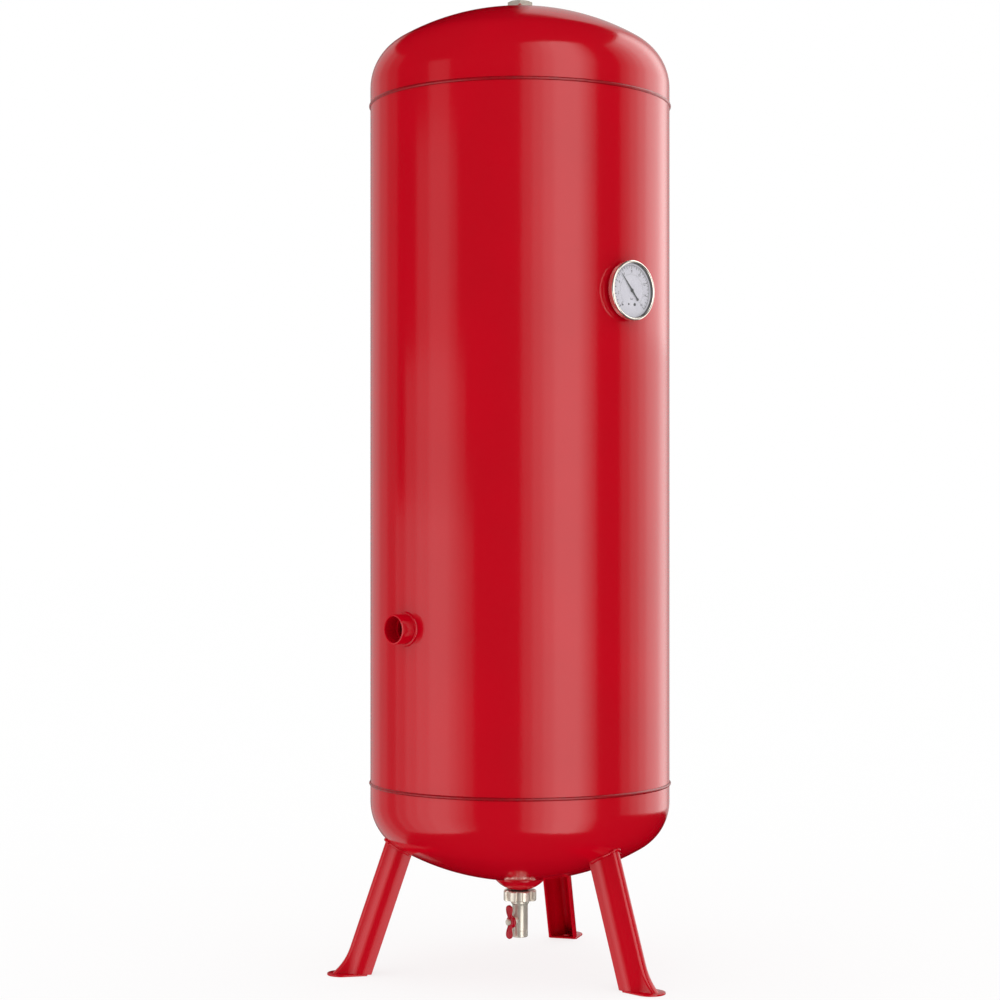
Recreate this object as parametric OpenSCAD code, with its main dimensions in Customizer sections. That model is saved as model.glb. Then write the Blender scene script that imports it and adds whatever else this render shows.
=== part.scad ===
// Vertical compressed-air receiver on three pressed legs, with a pressure
// gauge, two side sockets, a plugged top port and a ball valve as its drain.
// Millimetres. Z is up, the floor is z = 0 and the tank stands on the Z axis.
// The gauge faces -Y, the inlet is on -X and the outlet on +X.

/* [Tank] */
// Outside diameter of the shell
tank_d = 500; // [440:10:600]
// Length of the shell between the girth welds
shell_h = 1128; // [940:4:1360]
// Wall of the shell
shell_t = 3; // [2:0.5:5]
// Wall of the dished heads
head_t = 3.5; // [2.5:0.5:5]
// Outside radius of a head's crown
crown_r = 405; // [395:5:540]
// Outside radius of a head's knuckle
knuckle_r = 86.5; // [72:0.5:104]
// Straight flange of a head
flange_h = 30; // [24:1:50]
// Height of the bottom head's lowest point above the floor
apex_gap = 147.7; // [140:0.1:190]

/* [Welds] */
// Width of a girth weld
girth_w = 6; // [4:0.5:8]
// How far a girth weld stands proud
girth_proud = 2.4; // [1:0.2:3]
// Width of the long seam's bead
seam_w = 5; // [4:0.5:6]
// How far the long seam stands proud
seam_proud = 1.6; // [1.4:0.2:2.4]
// Angle of the long seam, from +X towards +Y
seam_angle = 50; // [30:5:70]
// Leg of the fillet welds round the sockets and the legs
fillet = 4.5; // [3:0.5:6]

/* [Legs] */
// Lean of a leg from the vertical
leg_tilt = 19; // [16:0.5:21]
// Width of a leg across its straight sides
leg_w = 48; // [40:1:58]
// Depth of a leg's straight sides
leg_side = 21; // [16:1:26]
// Depth of a leg from its open edges to its nose
leg_depth = 43.5; // [38:0.5:50]
// Width of the flat nose
leg_nose_w = 10; // [8:1:16]
// Sheet of the legs and feet
leg_t = 3; // [2.5:0.5:4]
// How far the nose stands outside the shell at the floor
leg_spread = 52; // [40:1:60]
// How far a foot reaches past the nose
foot_out = 23; // [18:1:30]
// How far a foot reaches inwards from the nose
foot_in = 40; // [34:1:42]
// Width of a foot
foot_w = 50; // [44:1:60]
// Hollow of the bend between nose and foot
foot_bend = 28; // [16:1:30]
// Anchor hole in each foot
anchor_d = 12; // [10:0.5:14]
// Distance of the anchor hole inwards from the nose
anchor_in = 21; // [19:0.5:24]

/* [Side sockets] */
// Outside diameter of the inlet and outlet sockets
socket_d = 48.3; // [46:0.1:54.5]
// Thread bore of the inlet and outlet sockets
socket_bore = 38.952; // [36:0.001:40]
// How far they stand out of the shell
socket_out = 26; // [20:1:40]
// Land left between their thread and the shell
socket_land = 2.5; // [2:0.5:5]
// Hole through the shell behind them
pass_d = 34; // [28:1:37]
// Height of the inlet above the lower girth weld
inlet_h = 263; // [150:1:300]
// Depth of the outlet below the upper girth weld
outlet_drop = 263; // [150:1:300]

/* [Top port] */
// Outside diameter of the top socket
top_d = 39.5; // [38:0.1:46]
// Thread of the top port
top_thread_d = 33.2; // [30:0.1:34]
// How far the top socket stands above the head
top_out = 4.5; // [4.5:0.5:14]
// Length of the top socket inside the head
top_in = 14; // [10:1:20]
// Across flats of the plug's hexagon
plug_af = 41; // [38:1:46]
// Turn of the plug's hexagon as tightened
plug_turn = 47; // [0:1:59]
// Height of the plug's hexagon
plug_hex_h = 10; // [8:0.5:18]
// Length of the plug's thread
plug_thread_h = 16; // [12:1:20]
// Sealing washer under the plug
plug_washer_t = 1.5; // [1:0.5:3]

/* [Drain boss and ring] */
// Radius of the boss's domed face
boss_r = 55; // [50:1:70]
// Radius of the boss at the head
boss_edge_r = 42; // [36:1:46]
// How far the boss hangs below the head
boss_drop = 17.7; // [16:0.1:30]
// Outside diameter of the ring nut's castellations
ring_d = 56; // [50:1:62]
// Diameter between the castellations
ring_root_d = 47; // [44:1:50]
// Number of castellations
ring_lugs = 8; // [6:1:10]
// Height of the ring nut
ring_h = 17; // [14:1:20]
// Sealing washer between boss and ring
drain_washer_t = 2; // [1:0.5:3]
// Diameter of that washer
drain_washer_d = 32; // [28:1:36]

/* [Drain valve] */
// Outside diameter of the valve body
valve_d = 26; // [25:0.5:32]
// Collar at the top of the valve body
valve_collar_d = 30; // [28:0.5:36]
// Height of the collar
valve_collar_h = 4; // [3:0.5:6]
// Depth of the stem axis below the ring nut
stem_drop = 34; // [32:0.5:42]
// Length of the body below the stem axis
valve_below = 27; // [26:0.5:34]
// Length of the end piece that shows
end_h = 11; // [10:0.5:14]
// Thread of the valve's spigot
spigot_d = 20.955; // [18:0.001:22]
// Length of the spigot above the ring nut
spigot_up = 20; // [14:1:24]
// Thread bore of the drain outlet
drain_bore = 18.631; // [14:0.001:19]
// Flow passage of the valve
flow_d = 10; // [8:0.5:11]
// Diameter of the ball
ball_d = 16; // [15:0.2:17]
// Diameter of the cavity round the ball
cavity_d = 20.4; // [20:0.1:21]
// Diameter of the stem
stem_d = 8; // [6:0.1:8.4]
// Shoulder that keeps the stem in
shoulder_d = 10.1; // [9.4:0.1:11]
// Diameter of the boss round the stem
stem_boss_d = 16; // [14:0.5:18]
// How far the stem boss stands out from the valve's axis
stem_boss_x = 17.5; // [16:0.5:20]

/* [Drain handle] */
// Length of the handle across its two wings
handle_l = 57; // [48:1:62]
// Width of a wing
wing_w = 17; // [14:0.5:20]
// Thickness of the wings
wing_t = 5; // [4:0.5:7]
// Diameter of the hub
hub_d = 21; // [18:0.5:24]
// Thickness of the hub
hub_t = 7; // [5:0.5:9]
// Across flats of the handle's nut
nut_af = 10; // [9:0.5:13]
// Height of the nut
nut_h = 4; // [3:0.5:6]

/* [Gauge] */
// Height of the gauge above the lower girth weld
gauge_h = 802; // [600:1:860]
// Outside diameter of the bezel
bezel_d = 96; // [88:1:104]
// Width of the bezel's lip
bezel_lip = 4; // [3:0.5:6]
// Air between the shell and the gauge's back
gauge_gap = 2; // [1.5:0.5:6]
// Depth of the gauge from back to bezel
gauge_depth = 14; // [13.6:0.1:20]
// Sheet of the case
case_t = 1; // [0.8:0.1:1.4]
// Thickness of the window
window_t = 1.8; // [1.5:0.1:3]
// Thickness of the dial
dial_t = 0.6; // [0.5:0.1:1]
// Length of the pointer from its pivot
pointer_l = 35; // [28:0.5:37]
// Length of the pointer's tail
tail_l = 20.5; // [14:0.5:22]
// Pointer angle left of vertical when standing idle
pointer_rest = 42; // [20:1:60]
// Sweep of the scale either side of vertical
scale_half = 135; // [120:1:140]
// Outside diameter of the gauge's connection thread
gauge_thread_d = 13.157; // [12:0.001:16]
// Length of that thread
gauge_thread_l = 17; // [12:1:20]
// Outside diameter of the gauge's welded socket
gauge_socket_d = 26; // [24:0.5:32]
// Length of the gauge's welded socket
gauge_socket_l = 24; // [20:1:28]

/* [Movement] */
// Tooth size, pitch diameter over number of teeth
gear_m = 0.2; // [0.18:0.01:0.24]
// Teeth of the pointer's pinion
pinion_n = 12; // [10:1:14]
// Teeth of a whole wheel of the sector's size
sector_n = 144; // [132:12:156]
// Teeth cut on the sector
sector_cut = 23; // [21:2:25]
// Radius of the Bourdon tube's centre line
tube_r = 34; // [30:0.5:36]
// Width of the Bourdon tube
tube_w = 4.2; // [3:0.2:5]
// Thickness of the flattened Bourdon tube
tube_t = 2.2; // [1.8:0.1:3]
// Wall of the Bourdon tube
tube_wall = 0.4; // [0.3:0.05:0.6]
// Turns of the hairspring
hair_turns = 4; // [3:1:5]

/* [Data plate] */
// Angle of the data plate, from +X towards +Y
plate_angle = 90; // [80:5:100]
// Height of the plate's centre above the lower girth weld
plate_h = 760; // [500:10:820]
// Width of the data plate
plate_w = 90; // [70:5:110]
// Height of the data plate
plate_l = 60; // [50:5:80]
// Thickness of the data plate
plate_t = 1; // [0.8:0.1:1.5]
// Sheet of the plate's bracket
bracket_t = 2; // [1.5:0.5:3]
// Diameter of the plate's rivets
rivet_d = 4; // [3:0.5:5]

/* [Hidden] */

fit_gap = 0.05;      // radial clearance of turned fits
press_gap = 0.01;    // radial clearance where one piece is pressed into another
air_gap = 0.3;       // clearance between neighbours that don't touch
over = 2;            // how far cutters run past what they cut
tank_r = tank_d / 2;

// Head: a crown arc and a knuckle arc that meet where both have one tangent
knuckle_x = tank_r - knuckle_r;
arc_drop = sqrt(pow(crown_r - knuckle_r, 2) - pow(knuckle_x, 2));
dish_h = crown_r - arc_drop;
head_h = dish_h + flange_h;
lower_z = apex_gap + head_h;
upper_z = lower_z + shell_h;
crown_z = apex_gap + crown_r;
top_z = upper_z + head_h;

red = [0.73, 0.02, 0.08];
nickel = [0.8, 0.79, 0.74];
brass = [0.78, 0.66, 0.38];
white = [0.93, 0.93, 0.91];

// ---- Pressure shell

// One dished head's outline, drawn upwards from its weld at y = 0 and set in by t
module head_outline(t) {
    reach = 2 * dish_h;
    ray = [knuckle_x, arc_drop] / (crown_r - knuckle_r) * reach;
    square([tank_r - t, flange_h]);
    translate([0, flange_h]) {
        intersection() {
            translate([0, -arc_drop]) circle(r = crown_r - t, $fn = 360);
            polygon([[0, 0], [knuckle_x, 0], [knuckle_x + ray.x, ray.y], [0, ray.y]]);
        }
        intersection() {
            translate([knuckle_x, 0]) circle(r = knuckle_r - t, $fn = 180);
            polygon([[knuckle_x, 0], [knuckle_x + reach, 0],
                [knuckle_x + reach, ray.y], [knuckle_x + ray.x, ray.y]]);
        }
    }
}

// Head wall from its weld upwards, with a hole of radius hole_r at its top
module head_wall(hole_r) {
    rotate_extrude($fn = 180) difference() {
        head_outline(0);
        head_outline(head_t);
        translate([0, -over]) square([tank_r - head_t, 2 * over]);
        square([hole_r, 2 * head_h]);
    }
}

// The space a whole head takes up, t outside its surface
module head_solid(t) {
    rotate_extrude($fn = 180) head_outline(-t);
}

module as_bottom_head() {
    translate([0, 0, lower_z]) mirror([0, 0, 1]) children();
}

module shell() {
    color(red) difference() {
        translate([0, 0, lower_z]) difference() {
            cylinder(d = tank_d, h = shell_h, $fn = 180);
            translate([0, 0, -over]) cylinder(r = tank_r - shell_t, h = shell_h + 2 * over, $fn = 180);
        }
        for (side = [0, 1]) side_port(side) cylinder(d = pass_d, h = 2 * tank_r / 3, $fn = 64);
        gauge_place(0) translate([0, 0, -tank_r / 2])
            cylinder(r = gauge_socket_d / 2 + fit_gap, h = tank_r, $fn = 64);
    }
}

module top_head() {
    color(red) translate([0, 0, upper_z]) head_wall(top_d / 2 + fit_gap);
}

module bottom_head() {
    color(red) as_bottom_head() head_wall(spigot_d / 2 + air_gap);
}

// Ring bead of width w, proud by p, round the shell at height z
module ring_bead(z, w, p) {
    r = (w * w / 4 + p * p) / (2 * p);
    rotate_extrude($fn = 180) difference() {
        translate([tank_r + p - r, z]) circle(r = r, $fn = 48);
        translate([tank_r - 2 * r, z - 2 * r]) square([2 * r, 4 * r]);
    }
}

module lower_girth_weld() { color(red) ring_bead(lower_z, girth_w, girth_proud); }
module upper_girth_weld() { color(red) ring_bead(upper_z, girth_w, girth_proud); }

module long_seam_weld() {
    r = (seam_w * seam_w / 4 + seam_proud * seam_proud) / (2 * seam_proud);
    end_gap = girth_w / 2 + air_gap;
    color(red) translate([0, 0, lower_z + end_gap]) rotate([0, 0, seam_angle])
        linear_extrude(height = shell_h - 2 * end_gap) difference() {
            translate([tank_r + seam_proud - r, 0]) circle(r = r, $fn = 96);
            circle(d = tank_d, $fn = 1440);
        }
}

// ---- Legs

leg_nose_r = tank_r + leg_spread;
foot_tip_r = leg_nose_r + foot_out;
anchor_r = leg_nose_r - anchor_in;
leg_top_z = lower_z - flange_h;

// Half outlines of a leg's section, nose at x = 0; grown outwards by g
function leg_half(g) = [[-leg_depth, leg_w / 2 + g], [-leg_depth + leg_side, leg_w / 2 + g],
    [g, leg_nose_w / 2 + g / 2]];
function flip(points) = [for (i = [len(points) - 1:-1:0]) [points[i].x, -points[i].y]];

module leg_section(g) {
    polygon(concat(leg_half(g), flip(leg_half(g))));
}

// Places children at one foot, standing along the leg's nose
module leg_place(angle) {
    rotate([0, 0, angle]) translate([leg_nose_r, 0, 0]) rotate([0, -leg_tilt, 0]) children();
}

// Straight length of leg, grown by g, from the floor up into the head
module leg_bar(angle, g) {
    leg_place(angle) translate([0, 0, -leg_depth])
        linear_extrude(height = leg_top_z / cos(leg_tilt) + leg_depth) leg_section(g);
}

// Inner outline of the section, one sheet thickness in from the outer one
slope_x = leg_depth - leg_side;
slope_y = (leg_w - leg_nose_w) / 2;
slope_l = norm([slope_x, slope_y]);
leg_hollow_half = [[-leg_depth - over, leg_w / 2 - leg_t],
    [-slope_x - leg_t * (slope_l - slope_x) / slope_y, leg_w / 2 - leg_t],
    [-leg_t, leg_nose_w / 2 - leg_t * (slope_l - slope_y) / slope_x]];

module leg_channel(angle) {
    difference() {
        leg_bar(angle, 0);
        leg_place(angle) translate([0, 0, -2 * leg_depth]) linear_extrude(height = 2 * leg_top_z)
            polygon(concat(leg_hollow_half, flip(leg_hollow_half)));
    }
}

// Outline of a foot: straight sides and a round tip
module foot_plan() {
    translate([leg_nose_r - foot_in, -foot_w / 2]) square([foot_in + foot_out - foot_w / 2, foot_w]);
    translate([foot_tip_r - foot_w / 2, 0]) circle(d = foot_w, $fn = 64);
}

// Hollow bend that carries the nose's sheet out into the foot
module foot_flare() {
    run = foot_bend * tan((90 - leg_tilt) / 2);
    corner_r = leg_nose_r - leg_t * tan(leg_tilt);
    centre = [corner_r + run, leg_t + foot_bend];
    steps = 8;
    bend = [for (i = [0:steps]) centre
        + foot_bend * [cos(270 - i * (90 - leg_tilt) / steps), sin(270 - i * (90 - leg_tilt) / steps)]];
    sink = leg_t / 2;
    width = leg_nose_w - 1;     // a little narrower than the nose it blends into
    rotate([90, 0, 0]) translate([0, 0, -width / 2]) linear_extrude(height = width)
        polygon(concat(bend, [bend[steps] - [sink, 0], [corner_r - sink, leg_t - sink],
            [centre.x, leg_t - sink]]));
}

module leg(angle) {
    color(red) difference() {
        union() {
            leg_channel(angle);
            rotate([0, 0, angle]) linear_extrude(height = leg_t) foot_plan();
            rotate([0, 0, angle]) foot_flare();
        }
        translate([0, 0, -leg_depth * 2]) cylinder(r = 2 * tank_d, h = leg_depth * 2);
        as_bottom_head() head_solid(0);
        translate([0, 0, leg_top_z]) cylinder(r = tank_r, h = head_h);
        rotate([0, 0, angle]) translate([anchor_r, 0, -over])
            cylinder(d = anchor_d, h = leg_t + 2 * over, $fn = 48);
    }
}

module leg_front() { leg(-90); }
module leg_right() { leg(30); }
module leg_left() { leg(150); }

// Fillet beads where the legs' sheet meets the bottom head
module leg_welds() {
    color(red) for (angle = [-90, 30, 150]) difference() {
        intersection() {
            leg_bar(angle, fillet);
            as_bottom_head() head_solid(fillet);
        }
        leg_bar(angle, 0);
        leg_place(angle) translate([-leg_depth - leg_side + fillet, -leg_w, 0])
            cube([leg_side, 2 * leg_w, 2 * leg_top_z]);
        as_bottom_head() head_solid(0);
        translate([0, 0, leg_top_z]) cylinder(r = tank_r, h = head_h);
    }
}

// ---- Side sockets and the top port

inlet_z = lower_z + inlet_h;
outlet_z = upper_z - outlet_drop;
socket_mouth_r = tank_r + socket_out;

// Axis of the inlet (side 0, -X) or the outlet (side 1, +X), starting inside the tank
module side_port(side) {
    translate([0, 0, side == 0 ? inlet_z : outlet_z]) rotate([0, side == 0 ? -90 : 90, 0])
        translate([0, 0, tank_r / 2]) children();
}

module side_socket(side) {
    length = socket_mouth_r - tank_r / 2;
    thread_from = tank_r / 2 + socket_land;
    color(red) difference() {
        side_port(side) cylinder(d = socket_d, h = length, $fn = 96);
        side_port(side) translate([0, 0, -over]) cylinder(d = pass_d, h = length, $fn = 96);
        side_port(side) translate([0, 0, thread_from]) cylinder(d = socket_bore, h = length, $fn = 96);
        translate([0, 0, lower_z]) cylinder(d = tank_d, h = shell_h, $fn = 180);
    }
}

module inlet_socket() { side_socket(0); }
module outlet_socket() { side_socket(1); }

module top_socket() {
    color(red) translate([0, 0, top_z - top_in]) difference() {
        cylinder(d = top_d, h = top_in + top_out, $fn = 96);
        translate([0, 0, -over])
            cylinder(r = top_thread_d / 2 + fit_gap, h = top_in + top_out + 2 * over, $fn = 96);
    }
}

// Ring of weld round a side socket, following the shell
module saddle_bead(side) {
    difference() {
        intersection() {
            side_port(side) cylinder(r = socket_d / 2 + fillet, h = tank_r, $fn = 96);
            translate([0, 0, lower_z]) cylinder(r = tank_r + fillet, h = shell_h, $fn = 180);
        }
        side_port(side) translate([0, 0, -over]) cylinder(d = socket_d, h = tank_r, $fn = 96);
        translate([0, 0, lower_z]) cylinder(d = tank_d, h = shell_h, $fn = 180);
    }
}

module socket_welds() {
    color(red) {
        for (side = [0, 1]) saddle_bead(side);
        rotate_extrude($fn = 96) difference() {
            translate([top_d / 2, top_z - fillet / 2]) square([fillet, fillet * 1.4]);
            translate([0, upper_z]) head_outline(0);
        }
    }
}

module top_plug() {
    seat_z = top_z + top_out + plug_washer_t;
    bevel = plug_af * 0.07;
    corner_r = plug_af / cos(30) / 2;
    color(nickel) {
        translate([0, 0, seat_z]) intersection() {
            rotate([0, 0, plug_turn]) cylinder(d = plug_af / cos(30), h = plug_hex_h, $fn = 6);
            rotate_extrude($fn = 96) polygon([[0, 0], [plug_af / 2, 0], [corner_r, bevel],
                [corner_r, plug_hex_h - bevel], [plug_af / 2 - bevel, plug_hex_h], [0, plug_hex_h]]);
        }
        translate([0, 0, seat_z - plug_thread_h]) cylinder(d = top_thread_d, h = plug_thread_h, $fn = 96);
    }
}

module plug_washer() {
    color("dimgray") translate([0, 0, top_z + top_out]) difference() {
        cylinder(d = top_d, h = plug_washer_t, $fn = 96);
        translate([0, 0, -over])
            cylinder(r = top_thread_d / 2 + fit_gap, h = plug_washer_t + 2 * over, $fn = 96);
    }
}

// ---- Drain boss, ring nut and ball valve

boss_z = apex_gap - boss_drop;
washer_z = boss_z - drain_washer_t;
ring_z = washer_z - ring_h;
stem_z = ring_z - stem_drop;
valve_z = stem_z - valve_below;
end_z = valve_z + end_h;
spigot_r = spigot_d / 2;

module drain_boss() {
    flat = drain_washer_d / 2 + 1;
    centre = boss_z + sqrt(boss_r * boss_r - flat * flat);
    color(red) rotate_extrude($fn = 128) difference() {
        intersection() {
            translate([0, centre]) circle(r = boss_r, $fn = 180);
            translate([0, boss_z]) square([boss_edge_r, 2 * boss_drop]);
        }
        translate([0, crown_z]) circle(r = crown_r, $fn = 360);
        translate([0, boss_z - over]) square([spigot_r + fit_gap, 4 * boss_drop]);
    }
}

module drain_washer() {
    color("dimgray") translate([0, 0, washer_z]) difference() {
        cylinder(d = drain_washer_d, h = drain_washer_t, $fn = 96);
        translate([0, 0, -over]) cylinder(r = spigot_r + fit_gap, h = drain_washer_t + 2 * over, $fn = 96);
    }
}

module drain_ring_nut() {
    notch = 180 / ring_lugs;
    color(nickel) translate([0, 0, ring_z]) difference() {
        union() {
            cylinder(d = ring_root_d, h = ring_h, $fn = 96);
            for (i = [0:ring_lugs - 1]) rotate([0, 0, (i + 0.5) * 360 / ring_lugs]) intersection() {
                cylinder(d = ring_d, h = ring_h, $fn = 96);
                translate([0, -ring_d * sin(notch / 2) / 2, 0])
                    cube([ring_d, ring_d * sin(notch / 2), ring_h]);
            }
        }
        translate([0, 0, -over]) cylinder(r = spigot_r + fit_gap, h = ring_h + 2 * over, $fn = 96);
    }
}

seat_h = 4;                         // height of a ball seat
seat_past = 1.5;                    // how far a seat reaches past the ball
seat_low = stem_z - ball_d / 2 - seat_past;
cavity_top = stem_z + ball_d / 2 + seat_past;
shoulder_h = 1.2;                   // height of the stem's shoulder
shoulder_x = cavity_d / 2 + 0.9;    // outer face of the stem's shoulder
tang_w = 3;                         // thickness of the stem's driving tang
tang_depth = 2;                     // depth of the tang in the ball
tang_gap = 0.1;                     // air round the tang
hub_x = stem_boss_x + air_gap;
stem_end_x = hub_x + hub_t + nut_h + 1;
stem_thread_r = stem_d / 2 - 1;
cord_r = 0.75;                      // radius of an O-ring's cord
o_ring_x = [shoulder_x + 1.5, shoulder_x + 4];
thread_relief = 1;                  // solid left above the drain outlet's thread

// Points children along the stem, from the valve's axis outwards to -X
module stem_axis() {
    translate([0, 0, stem_z]) rotate([0, -90, 0]) children();
}

module valve_body() {
    color(nickel) difference() {
        union() {
            translate([0, 0, end_z]) cylinder(d = valve_d, h = ring_z - end_z, $fn = 96);
            translate([0, 0, ring_z - valve_collar_h])
                cylinder(d = valve_collar_d, h = valve_collar_h, $fn = 96);
            translate([0, 0, ring_z]) cylinder(d = spigot_d, h = ring_h + spigot_up, $fn = 96);
            stem_axis() cylinder(d = stem_boss_d, h = stem_boss_x, $fn = 64);
        }
        translate([0, 0, end_z - over]) cylinder(d = cavity_d, h = cavity_top - end_z + over, $fn = 96);
        cylinder(d = flow_d, h = apex_gap * 2, $fn = 64);
        stem_axis() cylinder(r = stem_d / 2 + fit_gap, h = tank_r, $fn = 64);
        stem_axis() cylinder(r = shoulder_d / 2 + fit_gap, h = shoulder_x + fit_gap, $fn = 64);
    }
}

module valve_end() {
    color(nickel) difference() {
        union() {
            translate([0, 0, valve_z]) cylinder(d = valve_d, h = end_h, $fn = 96);
            translate([0, 0, end_z]) cylinder(r = cavity_d / 2 - fit_gap, h = seat_low - end_z, $fn = 96);
        }
        translate([0, 0, valve_z - over])
            cylinder(d = drain_bore, h = end_h + over - thread_relief, $fn = 96);
        cylinder(d = flow_d, h = apex_gap, $fn = 64);
    }
}

module valve_seats() {
    color(white) for (low = [seat_low, cavity_top - seat_h]) difference() {
        translate([0, 0, low]) cylinder(r = cavity_d / 2 - fit_gap, h = seat_h, $fn = 96);
        translate([0, 0, low - over]) cylinder(d = flow_d, h = seat_h + 2 * over, $fn = 64);
        translate([0, 0, stem_z]) sphere(r = ball_d / 2 + fit_gap, $fn = 96);
    }
}

module valve_ball() {
    color(nickel) translate([0, 0, stem_z]) difference() {
        sphere(d = ball_d, $fn = 96);
        translate([0, 0, -ball_d]) cylinder(d = flow_d, h = 2 * ball_d, $fn = 64);
        translate([-ball_d, -tang_w / 2 - tang_gap, -ball_d])
            cube([ball_d / 2 + tang_depth, tang_w + 2 * tang_gap, 2 * ball_d]);
    }
}

module valve_stem() {
    color(nickel) stem_axis() difference() {
        union() {
            translate([0, 0, shoulder_x - shoulder_h]) {
                cylinder(d = stem_d, h = stem_boss_x - shoulder_x + shoulder_h, $fn = 64);
                cylinder(d = shoulder_d, h = shoulder_h, $fn = 64);
            }
            translate([0, 0, stem_boss_x])
                cylinder(r = stem_thread_r, h = stem_end_x - stem_boss_x, $fn = 64);
            intersection() {
                translate([0, 0, ball_d / 2 - tang_depth + tang_gap])
                    cylinder(d = stem_d, h = shoulder_x - ball_d / 2 + tang_depth, $fn = 64);
                translate([-stem_d, -tang_w / 2, 0]) cube([2 * stem_d, tang_w, shoulder_x]);
            }
        }
        for (x = o_ring_x) translate([0, 0, x]) rotate_extrude($fn = 64)
            translate([stem_d / 2 + fit_gap, 0]) circle(r = cord_r, $fn = 32);
    }
}

module stem_o_rings() {
    color("dimgray") stem_axis() for (x = o_ring_x) translate([0, 0, x]) rotate_extrude($fn = 64)
        intersection() {
            translate([stem_d / 2 + fit_gap, 0]) circle(r = cord_r - press_gap, $fn = 32);
            translate([0, -cord_r]) square([stem_d / 2, 2 * cord_r]);
        }
}

module valve_handle() {
    wing_r = wing_w / 2;
    reach = handle_l / 2 - wing_r;
    color([0.75, 0.03, 0.12]) stem_axis() translate([0, 0, hub_x]) difference() {
        union() {
            cylinder(d = hub_d, h = hub_t, $fn = 64);
            for (side = [-1, 1]) translate([side * reach, 0, (hub_t - wing_t) / 2])
                cylinder(r = wing_r, h = wing_t, $fn = 64);
            translate([-reach, -wing_w * 0.3, (hub_t - wing_t) / 2])
                cube([2 * reach, wing_w * 0.6, wing_t]);
        }
        translate([0, 0, -over]) cylinder(r = stem_thread_r + fit_gap, h = hub_t + 2 * over, $fn = 64);
    }
}

module handle_nut() {
    color(nickel) stem_axis() translate([0, 0, hub_x + hub_t]) difference() {
        cylinder(d = nut_af / cos(30), h = nut_h, $fn = 6);
        translate([0, 0, -over]) cylinder(r = stem_thread_r + fit_gap, h = nut_h + 2 * over, $fn = 64);
    }
}

// ---- Gauge. Its own frame: x right and y up as it is read, z out to the reader

gauge_z = lower_z + gauge_h;
gauge_back = tank_r + gauge_gap;
bezel_r = bezel_d / 2;
sight_r = bezel_r - bezel_lip;
case_r = bezel_r - 2.2;
lip_t = 1;                                       // thickness of the bezel's lip
bezel_skirt = 7.5;                               // depth of the bezel over the case
window_z = gauge_depth - lip_t - window_t;
gasket_t = 1;                                    // thickness of the window gasket
dial_z = window_z - gasket_t - 2.6;
pointer_z = dial_z + dial_t + 1.2;
pointer_t = 0.5;                                 // sheet of the pointer
plate_thin = 0.6;                                // sheet of the movement plates
back_plate_z = case_t + 0.6;
front_plate_z = dial_z - 0.7 - plate_thin;
sector_t = 0.8;                                  // sheet of the sector
sector_z = back_plate_z + plate_thin + 1.1;
hair_z = sector_z + sector_t + 0.4;
arbor_r = 0.5;                                   // radius of the pointer's arbor
link_t = 0.4;                                    // sheet of the link
link_gap = 0.3;                                  // air between the link and its neighbours
link_z = sector_z - link_gap - link_t;
plug_hole_y = 24;                                // blow-out plug, above the case's middle
plug_hole_r = 5;                                 // radius of its hole
screw_x = 6.7;                                   // dial screws, right and left of the middle
screw_y = 22;                                    // dial screws, below the middle
screw_r = 0.8;                                   // radius of their threads

module gauge_place(z) {
    translate([0, -gauge_back - z, gauge_z]) rotate([90, 0, 0]) children();
}

// Flat ring between two radii, h thick
module washer(inner, outer, h) {
    difference() {
        cylinder(r = outer, h = h, $fn = 128);
        translate([0, 0, -over]) cylinder(r = inner, h = h + 2 * over, $fn = 128);
    }
}

module gauge_case() {
    color(nickel) gauge_place(0) difference() {
        cylinder(r = case_r, h = window_z - gasket_t, $fn = 128);
        translate([0, 0, case_t]) cylinder(r = case_r - case_t, h = gauge_depth, $fn = 128);
        translate([0, 0, -over]) cylinder(r = gauge_thread_d / 2 + fit_gap, h = gauge_depth, $fn = 64);
        translate([0, plug_hole_y, -over]) cylinder(r = plug_hole_r + press_gap, h = gauge_depth, $fn = 64);
    }
}

module blow_out_plug() {
    lip_h = 0.5;
    color("dimgray") gauge_place(0) translate([0, plug_hole_y, 0]) {
        cylinder(r = plug_hole_r, h = case_t, $fn = 64);
        for (z = [-lip_h, case_t]) translate([0, 0, z])
            cylinder(r = plug_hole_r + 1.2, h = lip_h, $fn = 64);
    }
}

module gauge_bezel() {
    skirt_z = gauge_depth - bezel_skirt;
    color(nickel) gauge_place(0) difference() {
        translate([0, 0, skirt_z]) cylinder(r = bezel_r, h = bezel_skirt, $fn = 128);
        translate([0, 0, skirt_z - over])
            cylinder(r = case_r + fit_gap, h = bezel_skirt - lip_t + over, $fn = 128);
        translate([0, 0, skirt_z]) cylinder(r = sight_r, h = gauge_depth, $fn = 128);
    }
}

module gauge_window() {
    color([0.85, 0.92, 0.95, 0.4]) gauge_place(0) translate([0, 0, window_z])
        cylinder(r = case_r - fit_gap, h = window_t, $fn = 128);
}

module window_gasket() {
    color("dimgray") gauge_place(0) translate([0, 0, window_z - gasket_t])
        washer(sight_r, case_r - fit_gap, gasket_t);
}

module gauge_dial() {
    color(white) gauge_place(0) translate([0, 0, dial_z]) difference() {
        cylinder(r = case_r - case_t - air_gap, h = dial_t, $fn = 128);
        translate([0, 0, -over]) cylinder(r = 2, h = dial_t + 2 * over, $fn = 48);
        for (side = [-1, 1]) translate([side * screw_x, -screw_y, -over])
            cylinder(r = screw_r + fit_gap, h = dial_t + 2 * over, $fn = 32);
    }
}

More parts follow.
